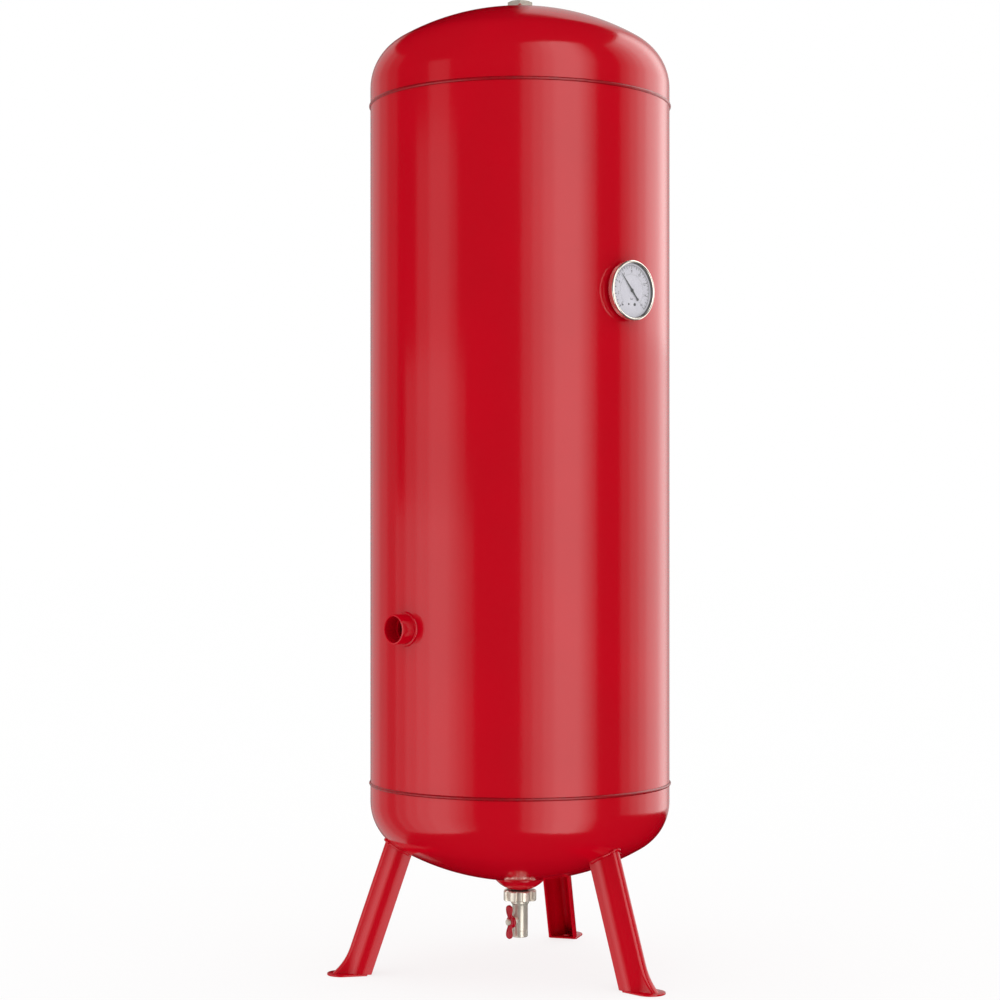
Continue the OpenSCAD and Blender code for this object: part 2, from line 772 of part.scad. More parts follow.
module dial_screws() {
    color("black") gauge_place(0) for (side = [-1, 1]) translate([side * screw_x, -screw_y, 0]) {
        translate([0, 0, dial_z + dial_t]) cylinder(r = 1.6, h = 0.6, $fn = 48);
        translate([0, 0, front_plate_z])
            cylinder(r = screw_r, h = dial_z + dial_t - front_plate_z, $fn = 32);
    }
}

module stop_pin() {
    pin_r = 0.9;
    pin_at = pointer_l - 3;
    slack = 4;       // degrees between the pin and the pointer's zero
    color("black") gauge_place(0) rotate([0, 0, scale_half + slack]) translate([0, pin_at, dial_z + dial_t])
        cylinder(r = pin_r, h = pointer_z + pointer_t - dial_z - dial_t, $fn = 32);
}

// Pointer drawn upwards, then turned to where it stands idle
module gauge_pointer() {
    color("black") gauge_place(pointer_z) rotate([0, 0, pointer_rest]) difference() {
        union() {
            linear_extrude(height = pointer_t) {
                polygon([[-1.1, 0], [-0.3, pointer_l], [0.3, pointer_l], [1.1, 0],
                    [0.6, -tail_l], [-0.6, -tail_l]]);
                translate([0, -tail_l]) circle(r = 2.3, $fn = 48);
                circle(r = 3, $fn = 48);
            }
            cylinder(r = 1.6, h = pointer_t + 0.5, $fn = 48);
        }
        translate([0, 0, -over])
            cylinder(r = arbor_r - fit_gap + press_gap, h = pointer_t + 0.2 + over, $fn = 32);
    }
}

pinion_r = gear_m * pinion_n / 2;
sector_r = gear_m * sector_n / 2;
sector_cx = -pinion_r - sector_r;    // sector's pivot, left of the middle
tooth_up = 0.75 * gear_m;
tooth_down = 1.05 * gear_m;
// Quarter of the pitch less backlash, at the pitch line and at the tip
tooth_half = gear_m * PI / 4 - 0.05;
tip_half = tooth_half - 0.055;

// One tooth standing on radius r along +X
module tooth(r) {
    polygon([[r - tooth_down - 0.05, -tooth_half - 0.02], [r, -tooth_half], [r + tooth_up, -tip_half],
        [r + tooth_up, tip_half], [r, tooth_half], [r - tooth_down - 0.05, tooth_half + 0.02]]);
}

module pointer_pinion() {
    color(brass) {
        gauge_place(sector_z - 0.1) linear_extrude(height = sector_t + 0.2) {
            circle(r = pinion_r - tooth_down, $fn = 32);
            for (i = [0:pinion_n - 1]) rotate([0, 0, (i + 0.5) * 360 / pinion_n]) tooth(pinion_r);
        }
        gauge_place(back_plate_z)
            cylinder(r = arbor_r - fit_gap, h = pointer_z + 0.4 - back_plate_z, $fn = 32);
    }
}

tail_x = -1;         // link's pin, from the sector's pivot
tail_y = 7;

module sector_gear() {
    half = sector_cut * 180 / sector_n;
    rim = 1.6;
    color(brass) gauge_place(sector_z) difference() {
        translate([sector_cx, 0, 0]) linear_extrude(height = sector_t) {
            difference() {
                intersection() {
                    circle(r = sector_r - tooth_down, $fn = 180);
                    polygon([[0, 0], sector_r * 2 * [cos(half), sin(half)],
                        sector_r * 2 * [cos(half), -sin(half)]]);
                }
                circle(r = sector_r - tooth_down - rim, $fn = 180);
            }
            for (i = [0:sector_cut - 1]) rotate([0, 0, (i - (sector_cut - 1) / 2) * 360 / sector_n])
                tooth(sector_r);
            translate([0, -1.1]) square([sector_r - tooth_down - rim / 2, 2.2]);
            circle(r = 2, $fn = 48);
            polygon([[-1.6, 0], [1.2, 0], [tail_x + 0.9, tail_y], [tail_x - 0.9, tail_y]]);
            translate([tail_x, tail_y]) circle(r = 1.1, $fn = 32);
        }
        translate([sector_cx, 0, -over])
            cylinder(r = arbor_r - fit_gap + press_gap, h = sector_t + 2 * over, $fn = 32);
        translate([sector_cx + tail_x, tail_y, -over]) cylinder(r = 0.4, h = sector_t + 2 * over, $fn = 32);
    }
}

module sector_arbor() {
    color(nickel) gauge_place(back_plate_z) translate([sector_cx, 0, 0])
        cylinder(r = arbor_r - fit_gap, h = front_plate_z + plate_thin - back_plate_z, $fn = 32);
}

tube_from = -82;     // where the Bourdon tube leaves its block
tube_sweep = 250;    // angle it runs through to its tip
tube_z = case_t + 0.5 + tube_w / 2;
lug_l = 5;           // reach of the tip's lug towards the link
tip_at = tube_r * [cos(tube_from + tube_sweep), sin(tube_from + tube_sweep)];
tail_at = [sector_cx + tail_x, tail_y];
eye_at = tip_at + [lug_l, -1.2];

// Link, pinned in the sector's tail; its far eye lies under the tip's lug
module tip_link() {
    along = eye_at - tail_at;
    color(nickel) gauge_place(link_z) translate([tail_at.x, tail_at.y, 0]) {
        linear_extrude(height = link_t) difference() {
            union() {
                circle(r = 1.1, $fn = 32);
                rotate([0, 0, atan2(along.y, along.x)]) translate([0, -0.45]) square([norm(along), 0.9]);
                translate([along.x, along.y]) circle(r = 1.1, $fn = 32);
            }
            translate([along.x, along.y]) circle(r = 0.45, $fn = 32);
        }
        cylinder(r = 0.4 - fit_gap, h = sector_z - link_z + sector_t, $fn = 32);
    }
}

// C-shaped flattened tube from its block at the bottom round to its tip
module bourdon_tube() {
    color(brass) gauge_place(tube_z) rotate([0, 0, tube_from]) rotate_extrude(angle = tube_sweep, $fn = 180)
        translate([tube_r, 0]) difference() {
            square([tube_t, tube_w], center = true);
            square([tube_t - 2 * tube_wall, tube_w - 2 * tube_wall], center = true);
        }
}

// Cap that closes the tube, with the lug for the link's pin
module tube_tip() {
    cap_h = tube_w + 0.6;
    lug_z = link_z + link_t + link_gap;
    color(brass) difference() {
        union() {
            gauge_place(tube_z - cap_h / 2) rotate([0, 0, tube_from + tube_sweep])
                translate([tube_r - tube_t / 2 - 0.3, 0, 0]) cube([tube_t + 0.6, 2.5, cap_h]);
            gauge_place(lug_z) translate([tip_at.x, eye_at.y - 1, 0]) cube([lug_l, 2, 0.8]);
            gauge_place(lug_z) translate([eye_at.x, eye_at.y, 0]) cylinder(r = 1, h = 0.8, $fn = 32);
        }
        gauge_place(0) translate([eye_at.x, eye_at.y, 0]) cylinder(r = 0.45, h = gauge_depth, $fn = 32);
    }
}

module movement_back_plate() { color(brass) movement_plate(back_plate_z, 0); }
module movement_front_plate() { color(brass) movement_plate(front_plate_z, 1); }

module movement_plate(z, front) {
    gauge_place(z) difference() {
        linear_extrude(height = plate_thin) {
            translate([-26.5, -11.5]) square([36, 23]);
            if (front == 1) translate([-screw_x - 2.5, -screw_y - 2.5])
                square([2 * screw_x + 5, screw_y - 6]);
            if (front == 0) translate([-7, -screw_y - 2.5]) square([14, screw_y - 6]);
        }
        for (x = [0, sector_cx]) translate([x, 0, -over])
            cylinder(r = arbor_r, h = plate_thin + 2 * over, $fn = 32);
        if (front == 1) for (side = [-1, 1]) translate([side * screw_x, -screw_y, -over])
            cylinder(r = screw_r + fit_gap, h = plate_thin + 2 * over, $fn = 32);
    }
}

module movement_pillars() {
    gap = front_plate_z - back_plate_z - plate_thin;
    color(nickel) gauge_place(back_plate_z + plate_thin) for (x = [-24, 7], y = [-9, 9])
        translate([x, y, 0]) cylinder(r = 1.4, h = gap, $fn = 32);
}

// Flat spiral from the collet out to its stud
module hairspring() {
    inner = 1.4;
    pitch = 0.75;
    steps = 20;
    band = 0.2;
    turns = [for (i = [0:hair_turns * steps]) i * 360 / steps];
    function coil(a, off) = (inner + pitch * a / 360 + off) * [cos(a), sin(a)];
    color(nickel) gauge_place(hair_z) linear_extrude(height = 0.5) polygon(concat(
        [for (a = turns) coil(a, 0)], [for (i = [len(turns) - 1:-1:0]) coil(turns[i], band)]));
}

// Threaded stem with the bar and block that the Bourdon tube springs from
module gauge_connection() {
    bar_w = 10;
    block_y = tube_r * sin(tube_from) + tube_t / 2;
    color(brass) gauge_place(0) difference() {
        union() {
            translate([0, 0, -gauge_thread_l])
                cylinder(d = gauge_thread_d, h = gauge_thread_l + case_t, $fn = 64);
            translate([-bar_w / 2, block_y - 5, case_t]) {
                cube([bar_w, bar_w / 2 - block_y + 5, back_plate_z - case_t]);
                cube([bar_w / 2 + tube_r * cos(tube_from) - fit_gap, 8, tube_w + 0.5]);
            }
        }
        translate([0, 0, -gauge_thread_l - over]) cylinder(d = 3, h = gauge_thread_l + over, $fn = 32);
    }
}

module gauge_socket() {
    color(red) gauge_place(0) translate([0, 0, -gauge_gap - gauge_socket_l - 0.5]) difference() {
        cylinder(d = gauge_socket_d, h = gauge_socket_l, $fn = 64);
        translate([0, 0, -over])
            cylinder(r = gauge_thread_d / 2 + fit_gap, h = gauge_socket_l + 2 * over, $fn = 64);
    }
}

// ---- Data plate, on the back of the tank

bracket_off = 10;    // distance of the plate's back from the shell's crest
rivet_in = 7;        // distance of the rivets from the plate's edges

module plate_place() {
    translate([0, 0, lower_z + plate_h]) rotate([0, 0, plate_angle]) translate([tank_r, 0, 0])
        rotate([90, 0, 90]) children();
}

module data_plate_bracket() {
    color(red) difference() {
        plate_place() difference() {
            translate([-plate_w / 2, -plate_l / 2, -over * 4])
                cube([plate_w, plate_l, bracket_off + over * 4]);
            translate([-plate_w / 2 + bracket_t, -plate_l, -over * 6])
                cube([plate_w - 2 * bracket_t, 2 * plate_l, bracket_off - bracket_t + over * 6]);
            plate_holes();
        }
        translate([0, 0, lower_z]) cylinder(d = tank_d, h = shell_h, $fn = 180);
    }
}

// Places children at each of the plate's four rivets
module rivet_places() {
    for (x = [-1, 1], y = [-1, 1])
        translate([x * (plate_w / 2 - rivet_in), y * (plate_l / 2 - rivet_in), 0]) children();
}

module plate_holes() {
    rivet_places() translate([0, 0, bracket_off - bracket_t - over])
        cylinder(r = rivet_d / 2 + fit_gap, h = 4 * over, $fn = 32);
}

module data_plate() {
    color([0.82, 0.82, 0.8]) plate_place() difference() {
        translate([-plate_w / 2, -plate_l / 2, bracket_off]) cube([plate_w, plate_l, plate_t]);
        plate_holes();
    }
}

module plate_rivets() {
    color("silver") plate_place() rivet_places() {
        translate([0, 0, bracket_off - bracket_t - 1])
            cylinder(d = rivet_d, h = bracket_t + plate_t + 1, $fn = 32);
        translate([0, 0, bracket_off + plate_t]) intersection() {
            translate([0, 0, -rivet_d * 0.6]) sphere(r = rivet_d * 1.05, $fn = 48);
            cylinder(r = rivet_d, h = rivet_d, $fn = 48);
        }
    }
}

shell();
top_head();
bottom_head();
lower_girth_weld();
upper_girth_weld();
long_seam_weld();
leg_front();
leg_right();
leg_left();
leg_welds();
inlet_socket();
outlet_socket();
top_socket();
gauge_socket();
socket_welds();
top_plug();
plug_washer();
drain_boss();
drain_washer();
drain_ring_nut();
valve_body();
valve_end();
valve_ball();
valve_seats();
valve_stem();
stem_o_rings();
valve_handle();
handle_nut();
gauge_case();
blow_out_plug();
gauge_connection();
gauge_bezel();
gauge_window();
window_gasket();
gauge_dial();
dial_screws();
stop_pin();
gauge_pointer();
pointer_pinion();
sector_gear();
sector_arbor();
tip_link();
bourdon_tube();
tube_tip();
movement_back_plate();
movement_front_plate();
movement_pillars();
hairspring();
data_plate_bracket();
data_plate();
plate_rivets();
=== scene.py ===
import math
import bmesh
import bpy
import numpy as np
from mathutils import Matrix, Vector


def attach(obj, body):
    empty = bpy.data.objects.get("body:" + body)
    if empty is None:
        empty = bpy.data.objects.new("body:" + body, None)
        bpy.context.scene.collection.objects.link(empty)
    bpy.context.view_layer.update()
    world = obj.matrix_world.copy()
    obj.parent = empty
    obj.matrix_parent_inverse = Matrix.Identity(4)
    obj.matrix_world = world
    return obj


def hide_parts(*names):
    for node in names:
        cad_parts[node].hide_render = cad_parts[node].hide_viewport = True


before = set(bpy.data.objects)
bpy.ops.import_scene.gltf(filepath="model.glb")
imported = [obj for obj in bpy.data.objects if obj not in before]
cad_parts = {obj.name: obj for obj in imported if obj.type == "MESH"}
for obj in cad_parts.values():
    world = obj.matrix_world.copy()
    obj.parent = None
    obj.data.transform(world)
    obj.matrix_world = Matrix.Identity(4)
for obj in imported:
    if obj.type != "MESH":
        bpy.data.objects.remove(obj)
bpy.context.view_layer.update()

mm = 0.001
tau = 2 * math.pi


# a wire is a socket that can be used in Python sums
class Wire:
    def __init__(self, bench, made, out=0):
        self.bench, self.made, self.socket = bench, made, made.outputs[out]

    def join(self, operation, first, second):
        return self.bench.node("ShaderNodeMath", {"operation": operation}, {0: first, 1: second})

    def __add__(self, other): return self.join("ADD", self, other)
    def __radd__(self, other): return self.join("ADD", other, self)
    def __sub__(self, other): return self.join("SUBTRACT", self, other)
    def __rsub__(self, other): return self.join("SUBTRACT", other, self)
    def __mul__(self, other): return self.join("MULTIPLY", self, other)
    def __rmul__(self, other): return self.join("MULTIPLY", other, self)
    def __truediv__(self, other): return self.join("DIVIDE", self, other)
    def __rtruediv__(self, other): return self.join("DIVIDE", other, self)


class Bench:
    def __init__(self, tree):
        self.tree = tree

    def node(self, kind, settings=None, values=None, out=0):
        made = self.tree.nodes.new(kind)
        for key, value in (settings or {}).items():
            setattr(made, key, value)
        for key, value in (values or {}).items():
            self.fill(made.inputs[key], value)
        return Wire(self, made, out)

    def fill(self, socket, value):
        if isinstance(value, Wire):
            self.tree.links.new(value.socket, socket)
        else:
            socket.default_value = (*value, 1) if socket.type == "RGBA" and len(value) == 3 else value

    def blendColours(self, share, first, second):
        return self.node("ShaderNodeMix", {"data_type": "RGBA"}, {0: share, 6: first, 7: second}, out=2)


finishes = {
    # colour and its second tone, size of the mottling, roughness range, bump size and height
    "redPaint": dict(colour=(0.555, 0.0, 0.0095), tone=(0.52, 0.0, 0.0085), grain=5.0,
                     rough=(0.11, 0.16), bumpScale=260.0, bump=0.05, height=0.00012),
    # a darker red painted onto the girth beads, standing in for the shade along the weld crevice
    "weldPaintedShade": dict(colour=(0.34, 0.0, 0.006), tone=(0.25, 0.0, 0.004), grain=90.0,
                      rough=(0.16, 0.26), bumpScale=700.0, bump=0.12, height=0.00010),
    "nickelPlate": dict(colour=(0.84, 0.80, 0.70), tone=(0.74, 0.70, 0.60), grain=60.0,
                        rough=(0.20, 0.30), bumpScale=900.0, bump=0.06, height=0.00008, metal=0.55),
    "polishedSteel": dict(colour=(0.92, 0.86, 0.78), tone=(0.87, 0.81, 0.72), grain=40.0,
                          rough=(0.08, 0.14), bumpScale=1200.0, bump=0.04, height=0.00005, metal=0.90),
    "sealRubber": dict(colour=(0.022, 0.021, 0.020), tone=(0.036, 0.034, 0.032), grain=300.0,
                       rough=(0.55, 0.75), bumpScale=1500.0, bump=0.25, height=0.0001),
    "whiteSeat": dict(colour=(0.82, 0.82, 0.79), tone=(0.74, 0.74, 0.70), grain=200.0,
                      rough=(0.32, 0.42), bumpScale=900.0, bump=0.06, height=0.0001),
    "handleRed": dict(colour=(0.47, 0.0, 0.016), tone=(0.40, 0.0, 0.012), grain=90.0,
                      rough=(0.14, 0.22), bumpScale=1100.0, bump=0.06, height=0.0001),
    "windowGlass": dict(colour=(0.93, 0.95, 0.95), tone=(0.88, 0.91, 0.91), grain=30.0,
                        rough=(0.02, 0.05), bumpScale=80.0, bump=0.02, height=0.0001, clear=0.05),
    "dialWhite": dict(colour=(0.70, 0.68, 0.74), tone=(0.64, 0.62, 0.69), grain=120.0,
                      rough=(0.42, 0.52), bumpScale=1800.0, bump=0.05, height=0.00005),
    "pointerBlack": dict(colour=(0.010, 0.010, 0.011), tone=(0.020, 0.020, 0.021), grain=260.0,
                         rough=(0.30, 0.45), bumpScale=1600.0, bump=0.08, height=0.00005),
    "movementBrass": dict(colour=(0.70, 0.47, 0.17), tone=(0.56, 0.36, 0.12), grain=150.0,
                          rough=(0.22, 0.36), bumpScale=1500.0, bump=0.10, height=0.00006, metal=0.95),
    "springSteel": dict(colour=(0.50, 0.50, 0.52), tone=(0.38, 0.38, 0.41), grain=200.0,
                        rough=(0.20, 0.34), bumpScale=1500.0, bump=0.08, height=0.00006, metal=0.95),
    "plateAluminium": dict(colour=(0.74, 0.74, 0.75), tone=(0.60, 0.60, 0.62), grain=18.0,
                           rough=(0.26, 0.44), bumpScale=300.0, bump=0.12, height=0.00008, metal=0.9,
                           brushed=(1.0, 1.0, 60.0)),
    "rivetAluminium": dict(colour=(0.68, 0.68, 0.69), tone=(0.55, 0.55, 0.57), grain=220.0,
                           rough=(0.24, 0.40), bumpScale=1400.0, bump=0.10, height=0.00006, metal=0.9),
}


def makeFinish(name, look):
    material = bpy.data.materials.new(name)
    material.use_nodes = True
    bench = Bench(material.node_tree)
    shader = material.node_tree.nodes["Principled BSDF"]
    where = bench.node("ShaderNodeTexCoord", out="Object")
    if "brushed" in look:       # stretched along the brushing
        where = bench.node("ShaderNodeMapping", None, {"Vector": where, "Scale": look["brushed"]})
    mottle = bench.node("ShaderNodeTexNoise", None,
                        {"Vector": where, "Scale": look["grain"], "Detail": 4.0, "Roughness": 0.6})
    fine = bench.node("ShaderNodeTexNoise", None,
                      {"Vector": where, "Scale": look["bumpScale"], "Detail": 3.0, "Roughness": 0.55})
    share = bench.node("ShaderNodeMapRange", None,
                       {"Value": mottle, "From Min": 0.34, "From Max": 0.66, "To Min": 0.0, "To Max": 1.0})
    low, high = look["rough"]
    roughness = (mottle * 0.6 + fine * 0.4) * (high - low) * 1.4 + (low - 0.2 * (high - low))
    colour = bench.blendColours(share, look["colour"], look["tone"])
    normal = bench.node("ShaderNodeBump", None,
                        {"Strength": look["bump"], "Distance": look["height"] * 10, "Height": fine})
    for key, value in {"Base Color": colour, "Roughness": roughness, "Normal": normal}.items():
        bench.fill(shader.inputs[key], value)
    shader.inputs["Metallic"].default_value = look.get("metal", 0.0)
    shader.inputs["IOR"].default_value = 1.48
    if "clear" in look:
        shader.inputs["Alpha"].default_value = look["clear"]
    return material


made = {name: makeFinish(name, look) for name, look in finishes.items()}
print("finishes:", len(made))

# every CAD node takes its finish; the ones that a piece stands for are hidden later
nodeFinish = {
    "redPaint": ("red_paint", ["shell", "bottom_head", "top_head", "lower_girth_weld", "upper_girth_weld",
                 "long_seam_weld", "leg_front", "leg_right", "leg_left", "leg_welds", "inlet_socket",
                 "outlet_socket", "top_socket", "gauge_socket", "socket_welds", "drain_boss",
                 "data_plate_bracket"]),
    "nickelPlate": ("nickel_plate", ["top_plug", "drain_ring_nut", "valve_body", "valve_end", "valve_stem",
                    "handle_nut", "valve_ball"]),
    "polishedSteel": ("polished_steel", ["gauge_case", "gauge_bezel"]),
    "sealRubber": ("seal_rubber", ["plug_washer", "drain_washer", "blow_out_plug", "window_gasket",
                   "stem_o_rings"]),
    "whiteSeat": ("white_seat", ["valve_seats"]),
    "handleRed": ("handle_red", ["valve_handle"]),
    "windowGlass": ("window_glass", ["gauge_window"]),
    "dialWhite": ("dial_white", ["gauge_dial"]),
    "pointerBlack": ("pointer_black", ["gauge_pointer", "dial_screws", "stop_pin"]),
    "movementBrass": ("movement_brass", ["gauge_connection", "bourdon_tube", "tube_tip",
                      "movement_back_plate", "movement_front_plate", "pointer_pinion", "sector_gear"]),
    "springSteel": ("spring_steel", ["sector_arbor", "tip_link", "movement_pillars", "hairspring"]),
    "plateAluminium": ("plate_aluminium", ["data_plate"]),
    "rivetAluminium": ("rivet_aluminium", ["plate_rivets"]),
}
for name, (slotName, members) in nodeFinish.items():
    for member in members:
        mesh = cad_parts[member].data
        mesh.materials.clear()
        mesh.materials.append(made[name])


# sizes are millimetres until a mesh is made
def tidyMesh(mesh, angle=30):
    work = bmesh.new()
    work.from_mesh(mesh)
    bmesh.ops.remove_doubles(work, verts=work.verts, dist=2e-6)
    loose = [edge for edge in work.edges if not edge.link_faces]
    bmesh.ops.delete(work, geom=loose, context="EDGES")
    bmesh.ops.recalc_face_normals(work, faces=work.faces)
    work.to_mesh(mesh)
    work.free()
    mesh.shade_smooth()
    mesh.set_sharp_from_angle(angle=math.radians(angle))
    return mesh


def meshOf(points, faces, angle=30):
    mesh = bpy.data.meshes.new("shape")
    mesh.from_pydata([tuple(p) for p in np.asarray(points, float) * mm], [], faces)
    return tidyMesh(mesh, angle)


def joined(*meshes):
    work = bmesh.new()
    for mesh in meshes:
        work.from_mesh(mesh)
    out = bpy.data.meshes.new("shape")
    work.to_mesh(out)
    work.free()
    return out


def placed(mesh, place):
    mesh.transform(place)
    return mesh


def frameAt(xAxis, yAxis, zAxis, origin):
    turn = Matrix((xAxis, yAxis, zAxis)).transposed().to_4x4()
    turn.translation = Vector(origin) * mm
    return turn


def loft(rows, wrap=False, caps=True):
    rows = np.asarray(rows, float)
    k, n = rows.shape[:2]
    faces = [(a * n + j, a * n + (j + 1) % n, b * n + (j + 1) % n, b * n + j)
             for a, b in [(i, (i + 1) % k) for i in range(k if wrap else k - 1)] for j in range(n)]
    if caps and not wrap:
        faces += [tuple(range(n))[::-1], tuple(range((k - 1) * n, k * n))]
    return rows.reshape(-1, 3), faces


def polarRing(radius, heights, bore, turn=0.0, steps=120):
    # a turned ring whose outline changes with the angle, such as a hexagon with a chamfer
    angles = math.radians(turn) + np.arange(steps) * tau / steps
    flat = np.stack([np.cos(angles), np.sin(angles)], 1)
    rows = [np.c_[flat * bore, np.full(steps, heights[0])]]
    for z in heights:
        rows.append(np.c_[flat * np.array([radius(a - math.radians(turn), z) for a in angles])[:, None],
                          np.full(steps, z)])
    rows.append(np.c_[flat * bore, np.full(steps, heights[-1])])
    return meshOf(*loft(rows, wrap=True), angle=24)


def hexRadius(flats, angle):
    sector = (angle + 1e-9) % (tau / 6) - tau / 12
    return flats / 2 / math.cos(sector)


def slab(outline, low, high, bevel, bore=None, centre=(0, 0), rounds=3):
    # a flat plate of any outline with rounded edges, and a round hole if it has one
    outline = np.asarray(outline, float)
    n = len(outline)
    along = np.roll(outline, -1, 0) - np.roll(outline, 1, 0)
    inward = np.stack([-along[:, 1], along[:, 0]], 1)
    inward /= np.maximum(np.linalg.norm(inward, axis=1), 1e-9)[:, None]
    area = np.sum(outline[:, 0] * np.roll(outline[:, 1], -1) - outline[:, 1] * np.roll(outline[:, 0], -1))
    inward *= 1 if area > 0 else -1
    turns = [math.pi / 2 * i / rounds for i in range(rounds + 1)]
    edge = [(bevel * (1 - math.sin(t)), low + bevel * (1 - math.cos(t))) for t in turns]
    edge += [(inset, high - (z - low)) for inset, z in reversed(edge)]
    rows = [np.c_[outline + inward * inset, np.full(n, z)] for inset, z in edge]
    if bore is None:
        return meshOf(*loft(rows), angle=35)
    toward = outline - np.array(centre)
    ring = np.array(centre) + toward / np.linalg.norm(toward, axis=1)[:, None] * bore
    rows = [np.c_[ring, np.full(n, low)], *rows, np.c_[ring, np.full(n, high)]]
    return meshOf(*loft(rows, wrap=True), angle=35)


def roundedBox(width, height, corner, steps=6):
    points = []
    for x, y, start in ((1, 1, 0), (-1, 1, 90), (-1, -1, 180), (1, -1, 270)):
        for i in range(steps + 1):
            a = math.radians(start + 90 * i / steps)
            points.append((x * (width / 2 - corner) + corner * math.cos(a),
                           y * (height / 2 - corner) + corner * math.sin(a)))
    return points


def piece(name, mesh, finish, body="root", stands=()):
    mesh.name = name
    mesh.materials.clear()
    mesh.materials.append(made[finish])
    shown = bpy.data.objects.new(name, mesh)
    bpy.context.scene.collection.objects.link(shown)
    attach(shown, body)
    if stands:
        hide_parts(*stands)
    return shown


# one tree for each way in which a shape repeats or follows a path
def startTree(name, sizes):
    tree = bpy.data.node_groups.new(name, "GeometryNodeTree")
    tree.interface.new_socket("Geometry", in_out="OUTPUT", socket_type="NodeSocketGeometry")
    tree.interface.new_socket("Geometry", in_out="INPUT", socket_type="NodeSocketGeometry")
    for size, (kind, value) in sizes.items():
        socket = tree.interface.new_socket(size, in_out="INPUT", socket_type="NodeSocket" + kind)
        socket.default_value = value
    tree.interface.new_socket("Finish", in_out="INPUT", socket_type="NodeSocketMaterial")
    bench = Bench(tree)
    start = tree.nodes.new("NodeGroupInput")
    given = {socket.name: Wire(bench, start, n) for n, socket in enumerate(start.outputs) if socket.name}
    return bench, given


def endTree(bench, shape, given):
    real = bench.node("GeometryNodeRealizeInstances", None, {0: shape})
    done = bench.node("GeometryNodeSetMaterial", None, {"Geometry": real, "Material": given["Finish"]})
    last = bench.tree.nodes.new("NodeGroupOutput")
    bench.fill(last.inputs[0], done)
    return bench.tree


def turnedTree():
    # carries an outline of radius and height round the axis
    bench, given = startTree("turned", {"Steps": ("Int", 96), "Merge": ("Float", 0.00003)})
    outline = bench.node("GeometryNodeMeshToCurve", None, {0: given["Geometry"]})
    path = bench.node("GeometryNodeCurvePrimitiveCircle", None,
                      {"Resolution": given["Steps"], "Radius": 0.00001})
    path = bench.node("GeometryNodeSetCurveNormal", {"mode": "Z_UP"}, {0: path})
    skin = bench.node("GeometryNodeCurveToMesh", None, {"Curve": path, "Profile Curve": outline})
    skin = bench.node("GeometryNodeMergeByDistance", None, {"Geometry": skin, "Distance": given["Merge"]})
    return endTree(bench, skin, given)


def beadTree():
    # a weld bead along a path, with the scales that the welder's steps leave
    bench, given = startTree("weldBead", {"Size": ("Float", 0.003), "Step": ("Float", 0.0034),
                                          "Depth": ("Float", 0.10), "Spacing": ("Float", 0.00085)})
    path = bench.node("GeometryNodeMeshToCurve", None, {0: given["Geometry"]})
    path = bench.node("GeometryNodeResampleCurve", {"mode": "LENGTH"},
                      {"Curve": path, "Length": given["Spacing"]})
    along = bench.node("GeometryNodeSplineParameter", out="Length")
    scales = bench.node("ShaderNodeMath", {"operation": "FRACT"}, {0: along / given["Step"]})
    uneven = bench.node("ShaderNodeTexNoise", None, {"Scale": 70.0, "Detail": 2.0})
    swell = 1 - scales * given["Depth"] + (uneven - 0.5) * 0.16
    ring = bench.node("GeometryNodeCurvePrimitiveCircle", None, {"Resolution": 10, "Radius": given["Size"]})
    skin = bench.node("GeometryNodeCurveToMesh", None,
                      {"Curve": path, "Profile Curve": ring, "Scale": swell, "Fill Caps": True})
    return endTree(bench, skin, given)


def threadTree():
    # the ridge of a screw thread; the given outline is one tooth
    bench, given = startTree("thread", {"Radius": ("Float", 0.02), "Pitch": ("Float", 0.002309),
                                        "Turns": ("Float", 8.0), "Steps": ("Int", 64)})
    tooth = bench.node("GeometryNodeMeshToCurve", None, {0: given["Geometry"]})
    path = bench.node("GeometryNodeCurveSpiral", None,
                      {"Resolution": given["Steps"], "Rotations": given["Turns"],
                       "Start Radius": given["Radius"], "End Radius": given["Radius"],
                       "Height": given["Pitch"] * given["Turns"]})
    path = bench.node("GeometryNodeSetCurveNormal", {"mode": "Z_UP"}, {0: path})
    skin = bench.node("GeometryNodeCurveToMesh", None,
                      {"Curve": path, "Profile Curve": tooth, "Fill Caps": True})
    return endTree(bench, skin, given)


def aroundTree():
    # repeats a mark round the axis, from a first angle by a step
    bench, given = startTree("around", {"Count": ("Int", 8), "First": ("Float", 0.0),
                                        "Step": ("Float", 0.1)})
    spots = bench.node("GeometryNodeMeshLine", None,
                       {"Count": given["Count"], "Offset": (0.0, 0.0, 0.0)})
    angle = bench.node("GeometryNodeInputIndex") * given["Step"] + given["First"]
    turn = bench.node("ShaderNodeCombineXYZ", None, {"X": 0.0, "Y": 0.0, "Z": angle})
    marks = bench.node("GeometryNodeInstanceOnPoints", None,
                       {"Points": spots, "Instance": given["Geometry"], "Rotation": turn})
    return endTree(bench, marks, given)


def gridTree():
    # repeats a fastener at the four corners of a rectangle
    bench, given = startTree("corners", {"Wide": ("Float", 0.08), "High": ("Float", 0.05)})
    spots = bench.node("GeometryNodeMeshGrid", None,
                       {"Size X": given["Wide"], "Size Y": given["High"], "Vertices X": 2, "Vertices Y": 2})
    heads = bench.node("GeometryNodeInstanceOnPoints", None,
                       {"Points": spots, "Instance": given["Geometry"]})
    return endTree(bench, heads, given)


trees = {"turned": turnedTree(), "bead": beadTree(), "thread": threadTree(), "around": aroundTree(),
         "corners": gridTree()}


